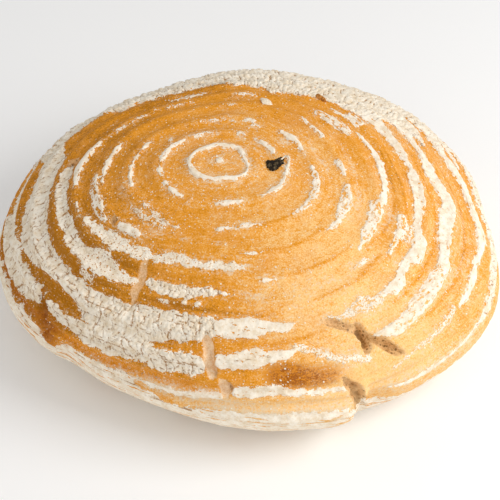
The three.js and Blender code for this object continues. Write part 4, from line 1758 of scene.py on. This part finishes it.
        kept = tree.ease(pick - (0.95 - 0.6 * haze), -0.01, 0.01)
        dot = (1.0 - tree.ease(near + 0.5 * (grain - 0.5), 0.16, 0.32)) * kept * 0.75
        away = 1.0 - tree.ease(tree.value("crumb"), 0.2, 0.5)
        return (sheet * worn).highest(spot.highest(dot) * away)


# Camera, lights and floor

@dataclass(frozen=True)
class Studio:
    """Camera, lights and floor, as the photo was taken."""

    aim: tuple = (3.6, -0.7, 40.0)
    distance: float = 900.0
    elevation: float = 42.513
    lens: float = 129.6
    shift: tuple = (-0.01237, -0.03502)
    key_way: tuple = (0.78, -0.24, 0.62)
    key_size: float = 0.55
    key_watts: float = 5.15
    key_distance: float = 0.9
    fill_way: tuple = (-0.45, -0.8, 0.45)
    fill_size: float = 0.8
    fill_watts: float = 1.25
    fill_distance: float = 1.0
    lamp_colour: Triple = (1.0, 0.98, 0.95)
    sky: float = 0.58
    floor_colour: Triple = (0.98, 0.98, 0.98)
    floor_roughness: float = 0.9
    floor_reach: float = 4.0

    def build(self) -> None:
        """Set the camera, the lights, the surroundings and the floor."""
        scene = bpy.context.scene
        aim = Vector(self.aim) * METRES
        angle = math.radians(self.elevation)
        back = Vector((0.0, -math.cos(angle), math.sin(angle)))
        camera = bpy.data.cameras.new("camera")
        camera.lens = self.lens
        camera.sensor_width = 36.0
        camera.shift_x, camera.shift_y = self.shift
        camera.clip_start = 0.01
        holder = bpy.data.objects.new("camera", camera)
        holder.location = aim + back * self.distance * METRES
        holder.rotation_euler = (-back).to_track_quat("-Z", "Y").to_euler()
        scene.collection.objects.link(holder)
        scene.camera = holder
        self.light("key", self.key_way, self.key_size, self.key_watts, self.key_distance)
        self.light("fill", self.fill_way, self.fill_size, self.fill_watts, self.fill_distance)
        world = bpy.data.worlds.new("surroundings")
        world.use_nodes = True
        backdrop = world.node_tree.nodes["Background"]
        backdrop.inputs[0].default_value = (1.0, 1.0, 1.0, 1.0)
        backdrop.inputs[1].default_value = self.sky
        scene.world = world
        scene.view_settings.view_transform = "Standard"
        self.floor()

    def light(self, name: str, way: tuple, size: float, watts: float, distance: float) -> None:
        """Add one soft light that faces the loaf.

        Args:
            name: Name of the light.
            way: Direction from the loaf to the light.
            size: Side of its square in metres.
            watts: Its power.
            distance: Metres from the loaf.
        """
        lamp = bpy.data.lights.new(name, "AREA")
        lamp.size = size
        lamp.energy = watts
        lamp.color = self.lamp_colour
        holder = bpy.data.objects.new(name, lamp)
        direction = Vector(way).normalized()
        holder.location = Vector(self.aim) * METRES + direction * distance
        holder.rotation_euler = (-direction).to_track_quat("-Z", "Y").to_euler()
        bpy.context.scene.collection.objects.link(holder)

    def floor(self) -> None:
        """Lay the pale floor."""
        material = bpy.data.materials.new("floor")
        material.use_nodes = True
        shader = material.node_tree.nodes["Principled BSDF"]
        shader.inputs["Base Color"].default_value = (*self.floor_colour, 1.0)
        shader.inputs["Roughness"].default_value = self.floor_roughness
        mesh = bpy.data.meshes.new("floor")
        reach = self.floor_reach
        corners = [(-reach, -reach, 0.0), (reach, -reach, 0.0), (reach, reach, 0.0), (-reach, reach, 0.0)]
        mesh.from_pydata(corners, [], [(0, 1, 2, 3)])
        mesh.materials.append(material)
        piece = bpy.data.objects.new("floor", mesh)
        bpy.context.scene.collection.objects.link(piece)


@dataclass(frozen=True)
class DryFinish:
    """Two colours that mix in grains, for the bits baked onto the crust."""

    light: tuple
    dark: tuple
    grain: float = 1.2
    low: float = 0.4
    high: float = 0.62
    roughness: float = 0.85
    shine: float = 0.2
    bump: tuple[float, float] = (0.5, 0.0003)

    def material(self, name: str) -> bpy.types.Material:
        """Mix the two colours in grains.

        Args:
            name: Name of the material.

        Returns:
            The material.
        """
        tree = ShaderTree.start(name)
        grain = tree.noise(tree.millimetres(), self.grain, 4.0, 0.7)
        colour = tree.blend(tree.ease(grain, self.low, self.high), self.dark, self.light)
        return tree.finish(colour, self.roughness, self.shine, grain, self.bump)


# Bits baked onto the crust

@dataclass
class Spot:
    """A place on the crust with its own level axes, for the bits baked onto it."""

    chart: CrustMap
    azimuth: float
    ring: float

    def put(self, local: Array) -> Array:
        """Move local points onto the crust.

        Args:
            local: Points in millimetres: right, away from the camera, and up from the crust.

        Returns:
            The points in the loaf's frame.
        """
        found = self.chart.fields(np.array([self.azimuth]), np.array([self.ring]))
        up = found.normals[0]
        right = np.cross(np.array([0.0, 1.0, 0.0]), up)
        right /= np.linalg.norm(right)
        away = np.cross(up, right)
        return found.points[0] + local @ np.stack([right, away, up])


def closed_rows(rows: list[Array], first: Array, last: Array) -> tuple[Array, Array, Array]:
    """Close a stack of loops with a point at each end.

    Args:
        rows: Loops of points, all with the same count and each anticlockwise seen from the first end.
        first: The point before the first loop.
        last: The point after the last loop.

    Returns:
        Points, quads and triangles.
    """
    count = len(rows[0])
    points = np.concatenate([first[None], *rows, last[None]])
    here = np.arange(count)
    after = (here + 1) % count
    quads = []
    for index in range(len(rows) - 1):
        start = 1 + index * count
        quads.append(np.stack([start + here, start + count + here, start + count + after, start + after], -1))
    end = 1 + (len(rows) - 1) * count
    triangles = [
        np.stack([np.zeros_like(here), 1 + here, 1 + after], -1),
        np.stack([end + here, np.full_like(here, len(points) - 1), end + after], -1),
    ]
    return points, np.concatenate(quads), np.concatenate(triangles)


@dataclass
class CharFlake:
    """The crumpled charred flake near the crown."""

    spot: Spot
    outline: Path = (
        (-4.5, 1.6), (-3.5, 2.5), (-2.2, 1.7), (-0.6, 2.3), (0.6, 3.4), (1.6, 4.6), (2.9, 5.0), (3.5, 4.2),
        (4.5, 3.4), (4.1, 2.0), (4.3, 0.6), (3.0, -0.6), (1.9, -1.7), (0.7, -3.6), (-0.2, -4.7),
        (-1.7, -4.4), (-2.8, -4.6), (-3.3, -2.9), (-4.4, -0.9), (-4.0, 0.4),
    )
    columns: int = 96
    shares: tuple[float, ...] = (0.12, 0.26, 0.4, 0.54, 0.68, 0.8, 0.9, 0.97, 1.0)
    rise: float = 1.0
    crumple: float = 0.75
    sink: float = 0.9
    seed: int = 47

    def parts(self) -> MeshParts:
        """Build the flake from its crumpled top down to a sunk underside.

        Returns:
            The closed mesh.
        """
        noise = ValueNoise(self.seed)
        turn = np.arange(self.columns) * 2 * np.pi / self.columns
        corners = np.array(self.outline)
        angle = np.mod(np.arctan2(corners[:, 1], corners[:, 0]), 2 * np.pi)
        order = np.argsort(angle)
        length = np.hypot(corners[:, 0], corners[:, 1])
        reach = np.interp(turn, angle[order], length[order], period=2 * np.pi)
        reach = reach * (1 + 0.05 * np.sin(9 * turn) + 0.04 * np.sin(17 * turn + 1))
        rows = []
        for share in self.shares:
            flat = np.stack([np.cos(turn) * reach * share, np.sin(turn) * reach * share, 0 * turn], -1)
            folds = 1 - 2 * np.abs(noise.many(flat + 5.0, 3.0, 2))
            height = self.rise + self.crumple * folds + 0.25 * noise.many(flat, 1.0, 2)
            flat[:, 2] = height * (1 - 0.45 * share**4)
            rows.append(flat)
        under = rows[-1] * np.array([0.94, 0.94, 1.0])
        under[:, 2] = -self.sink
        rows.append(under)
        top = np.array([0.0, 0.0, rows[0][:, 2].mean()])
        points, quads, triangles = closed_rows(rows, top, np.array([0.0, 0.0, -self.sink]))
        return MeshParts(self.spot.put(points), quads, triangles, {})


@dataclass
class PaleHook:
    """The pale curl of dough that hooks round the charred flake."""

    spot: Spot
    path: Knots = (
        (1.2, 5.0, 0.5), (3.0, 6.0, 1.0), (4.4, 7.6, 1.6), (5.7, 7.2, 2.2), (6.6, 5.2, 2.3), (6.2, 3.0, 1.6),
        (5.6, 0.8, 0.9), (6.4, -2.0, 0.5), (6.9, -5.0, 0.3), (6.3, -8.0, 0.0),
    )
    radius: float = 0.55
    steps: int = 60
    sides: int = 10

    def parts(self) -> MeshParts:
        """Sweep a thin rounded section along the path.

        Returns:
            The closed mesh.
        """
        knots = np.linspace(0, 1, len(self.path))
        share = np.linspace(0, 1, self.steps)
        line = np.stack([np.interp(share, knots, np.array(self.path)[:, axis]) for axis in range(3)], -1)
        for _ in range(6):
            line[1:-1] = (line[:-2] + 2 * line[1:-1] + line[2:]) / 4
        along = np.gradient(line, axis=0)
        along /= np.linalg.norm(along, axis=1, keepdims=True)
        side = np.cross(along, np.array([0.0, 0.0, 1.0]))
        side /= np.linalg.norm(side, axis=1, keepdims=True)
        over = np.cross(side, along)
        thick = self.radius * (0.35 + 0.65 * np.sin(np.pi * share) ** 0.6) * (1 + 0.2 * np.sin(23 * share))
        turn = np.arange(self.sides) * 2 * np.pi / self.sides
        rows = []
        for index in range(1, self.steps - 1):
            ring = np.cos(turn)[:, None] * side[index] + 0.75 * np.sin(turn)[:, None] * over[index]
            rows.append(line[index] + thick[index] * ring)
        points, quads, triangles = closed_rows(rows, line[0], line[-1])
        return MeshParts(self.spot.put(points), quads, triangles, {})


@dataclass
class Lump:
    """A small lump of flour or crust, half sunk in the loaf."""

    spot: Spot
    size: tuple[float, float, float]
    turn: float
    rough: float
    seed: int
    rows: int = 22
    columns: int = 40

    def parts(self) -> MeshParts:
        """Swell a ball unevenly, then stretch and turn it.

        Returns:
            The closed mesh.
        """
        noise = ValueNoise(self.seed)
        angle = np.arange(self.columns) * 2 * np.pi / self.columns
        loops = []
        for tilt in np.linspace(0, np.pi, self.rows + 2)[1:-1]:
            loops.append(np.stack([
                np.sin(tilt) * np.cos(angle), np.sin(tilt) * np.sin(angle), np.full_like(angle, np.cos(tilt)),
            ], -1))
        points, quads, triangles = closed_rows(loops, np.array([0.0, 0.0, 1.0]), np.array([0.0, 0.0, -1.0]))
        swell = 1 + self.rough * noise.many(points * 3.0, 2.2, 3)
        points = points * swell[:, None] * np.array(self.size)
        cosine = math.cos(math.radians(self.turn))
        sine = math.sin(math.radians(self.turn))
        turned = points @ np.array([[cosine, sine, 0.0], [-sine, cosine, 0.0], [0.0, 0.0, 1.0]])
        return MeshParts(self.spot.put(turned), quads, triangles, {})


# Loose grains of flour

@dataclass
class CrumbScatter:
    """Grains of flour strewn over the crust by Geometry Nodes."""

    parts: MeshParts
    dust: Array
    per_square_metre: float = 90000.0
    radius: float = 0.42
    smallest: float = 0.35
    largest: float = 1.25
    flat: float = 0.55
    seed: int = 7

    def tree(self, material: bpy.types.Material) -> bpy.types.NodeTree:
        """Make the node group that strews the grains.

        Args:
            material: What the grains are made of.

        Returns:
            The node group, with the density, radius and seed as inputs.
        """
        group = bpy.data.node_groups.new("strew_grains", "GeometryNodeTree")
        face = group.interface
        face.new_socket(name="Surface", in_out="INPUT", socket_type="NodeSocketGeometry")
        face.new_socket(name="Density", in_out="INPUT", socket_type="NodeSocketFloat")
        face.new_socket(name="Radius", in_out="INPUT", socket_type="NodeSocketFloat")
        face.new_socket(name="Seed", in_out="INPUT", socket_type="NodeSocketInt")
        face.new_socket(name="Grains", in_out="OUTPUT", socket_type="NodeSocketGeometry")
        nodes = group.nodes
        join = group.links.new
        source = nodes.new("NodeGroupInput")
        share = nodes.new("GeometryNodeInputNamedAttribute")
        share.data_type = "FLOAT"
        share.inputs["Name"].default_value = "dust"
        density = nodes.new("ShaderNodeMath")
        density.operation = "MULTIPLY"
        join(share.outputs["Attribute"], density.inputs[0])
        join(source.outputs["Density"], density.inputs[1])
        spread = nodes.new("GeometryNodeDistributePointsOnFaces")
        join(source.outputs["Surface"], spread.inputs["Mesh"])
        join(density.outputs[0], spread.inputs["Density"])
        join(source.outputs["Seed"], spread.inputs["Seed"])
        grain = nodes.new("GeometryNodeMeshIcoSphere")
        grain.inputs["Subdivisions"].default_value = 1
        join(source.outputs["Radius"], grain.inputs["Radius"])
        size = nodes.new("FunctionNodeRandomValue")
        size.data_type = "FLOAT_VECTOR"
        size.inputs[0].default_value = (self.smallest, self.smallest, self.smallest * self.flat)
        size.inputs[1].default_value = (self.largest, self.largest, self.largest * self.flat)
        place = nodes.new("GeometryNodeInstanceOnPoints")
        join(spread.outputs["Points"], place.inputs["Points"])
        join(grain.outputs["Mesh"], place.inputs["Instance"])
        join(spread.outputs["Rotation"], place.inputs["Rotation"])
        join(size.outputs[0], place.inputs["Scale"])
        real = nodes.new("GeometryNodeRealizeInstances")
        join(place.outputs[0], real.inputs[0])
        paint = nodes.new("GeometryNodeSetMaterial")
        paint.inputs["Material"].default_value = material
        join(real.outputs[0], paint.inputs["Geometry"])
        result = nodes.new("NodeGroupOutput")
        join(paint.outputs[0], result.inputs[0])
        return group

    def build(self, name: str, material: bpy.types.Material) -> bpy.types.Object:
        """Strew the grains and keep them as one plain mesh.

        Args:
            name: Name of the piece.
            material: What the grains are made of.

        Returns:
            The piece.
        """
        carrier = MeshParts(self.parts.points, self.parts.quads, self.parts.triangles, {"dust": self.dust})
        piece = carrier.build(name, material)
        group = self.tree(material)
        modifier = piece.modifiers.new("strewn", "NODES")
        modifier.node_group = group
        values = {"Density": self.per_square_metre, "Radius": self.radius * METRES, "Seed": self.seed}
        for item in group.interface.items_tree:
            if item.in_out == "INPUT" and item.name in values:
                modifier[item.identifier] = values[item.name]
        shown = piece.evaluated_get(bpy.context.evaluated_depsgraph_get())
        mesh = bpy.data.meshes.new_from_object(shown)
        piece.modifiers.clear()
        old = piece.data
        piece.data = mesh
        bpy.data.meshes.remove(old)
        mesh.name = name
        LOG.info("%s: %d triangles", name, len(mesh.polygons))
        return piece


def dust_share(crust: MeshParts) -> Array:
    """Work out how thickly grains of flour lie on the crust.

    Args:
        crust: The crust with its values.

    Returns:
        A share of the full density at each point, none on flour, torn crumb or the heel.
    """
    bare = 1 - smooth(crust.values["margin"], -0.2, 0.6)
    even = 1 - 0.7 * smooth(crust.values["bake"], 0.1, 0.7)
    close = np.exp(np.minimum(crust.values["margin"], 0.0) / 1.8)
    dust = np.clip(0.1 + 0.9 * crust.values["haze"] + 0.5 * close, 0, 1.5) * bare * even
    return dust * smooth(crust.points[:, 2], 6.0, 20.0) * (1 - crust.values["crumb"])


def dress(piece: bpy.types.Object, replaced: bool = False) -> None:
    """Tie a piece to the loaf's body.

    Args:
        piece: The piece.
        replaced: Whether it stands in place of the solid's node.
    """
    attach(piece, "root")
    if replaced:
        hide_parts("loaf")


@dataclass
class BakedBits:
    """The bits baked onto the crust, each at an azimuth and a ring number, with their finishes."""

    chart: CrustMap
    # The charred flake is black with lighter brown grains that are painted glints of its gloss.
    char: DryFinish = DryFinish(srgb(104, 88, 62), srgb(30, 22, 13), 1.5, 0.48, 0.66, 0.6, 0.12)
    pale: DryFinish = DryFinish(srgb(248, 236, 214), srgb(214, 186, 148), 1.3, 0.3, 0.6)
    brown: DryFinish = DryFinish(srgb(214, 146, 70), srgb(142, 86, 30), 1.3, 0.35, 0.62)
    flake_at: tuple[float, float] = (-6, 1.66)
    hook_at: tuple[float, float] = (-14, 1.62)
    flour_at: tuple[float, float] = (74.5, 4.4)
    flour_size: Triple = (2.6, 4.2, 1.5)
    crust_at: tuple[float, float] = (55.5, 5.85)
    crust_size: Triple = (1.9, 3.6, 1.8)

    def build(self) -> bpy.types.Material:
        """Build the flake, the hook and the two lumps.

        Returns:
            The pale material, which the grains of flour share.
        """
        char = self.char.material("char")
        pale = self.pale.material("pale_dough")
        brown = self.brown.material("brown_dough")
        flour = Lump(self.spot(self.flour_at), self.flour_size, turn=20, rough=0.45, seed=3)
        crust = Lump(self.spot(self.crust_at), self.crust_size, turn=35, rough=0.4, seed=4)
        dress(CharFlake(self.spot(self.flake_at)).parts().build("charred_flake", char))
        dress(PaleHook(self.spot(self.hook_at)).parts().build("pale_hook", pale))
        dress(flour.parts().build("flour_lump", pale))
        dress(crust.parts().build("crust_lump", brown))
        return pale

    def spot(self, place: tuple[float, float]) -> Spot:
        """Return a spot on the crust."""
        return Spot(self.chart, *place)


# The whole loaf

def main() -> None:
    logging.basicConfig(level=logging.INFO, format="%(name)s: %(message)s")
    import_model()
    chart = CrustMap(LoafForm())
    bread = BreadFinish().material("bread")
    crust = Crust(chart).parts()
    dress(crust.build("crust", bread), replaced=True)
    for ring in CROWN_RINGS:
        dress(FlourSheet(chart, ring).parts().build(f"flour_ring_{ring:02d}", bread))
    pale = BakedBits(chart).build()
    dress(FlourSheet(chart, RIM, cell=0.62).parts().build("flour_ring_10", bread))
    dress(FlourSheet(chart, BACK, cell=0.78).parts().build("flour_back", bread))
    dress(CrumbScatter(crust, dust_share(crust)).build("flour_grains", pale))
    Studio().build()


if __name__ == "__main__":
    main()
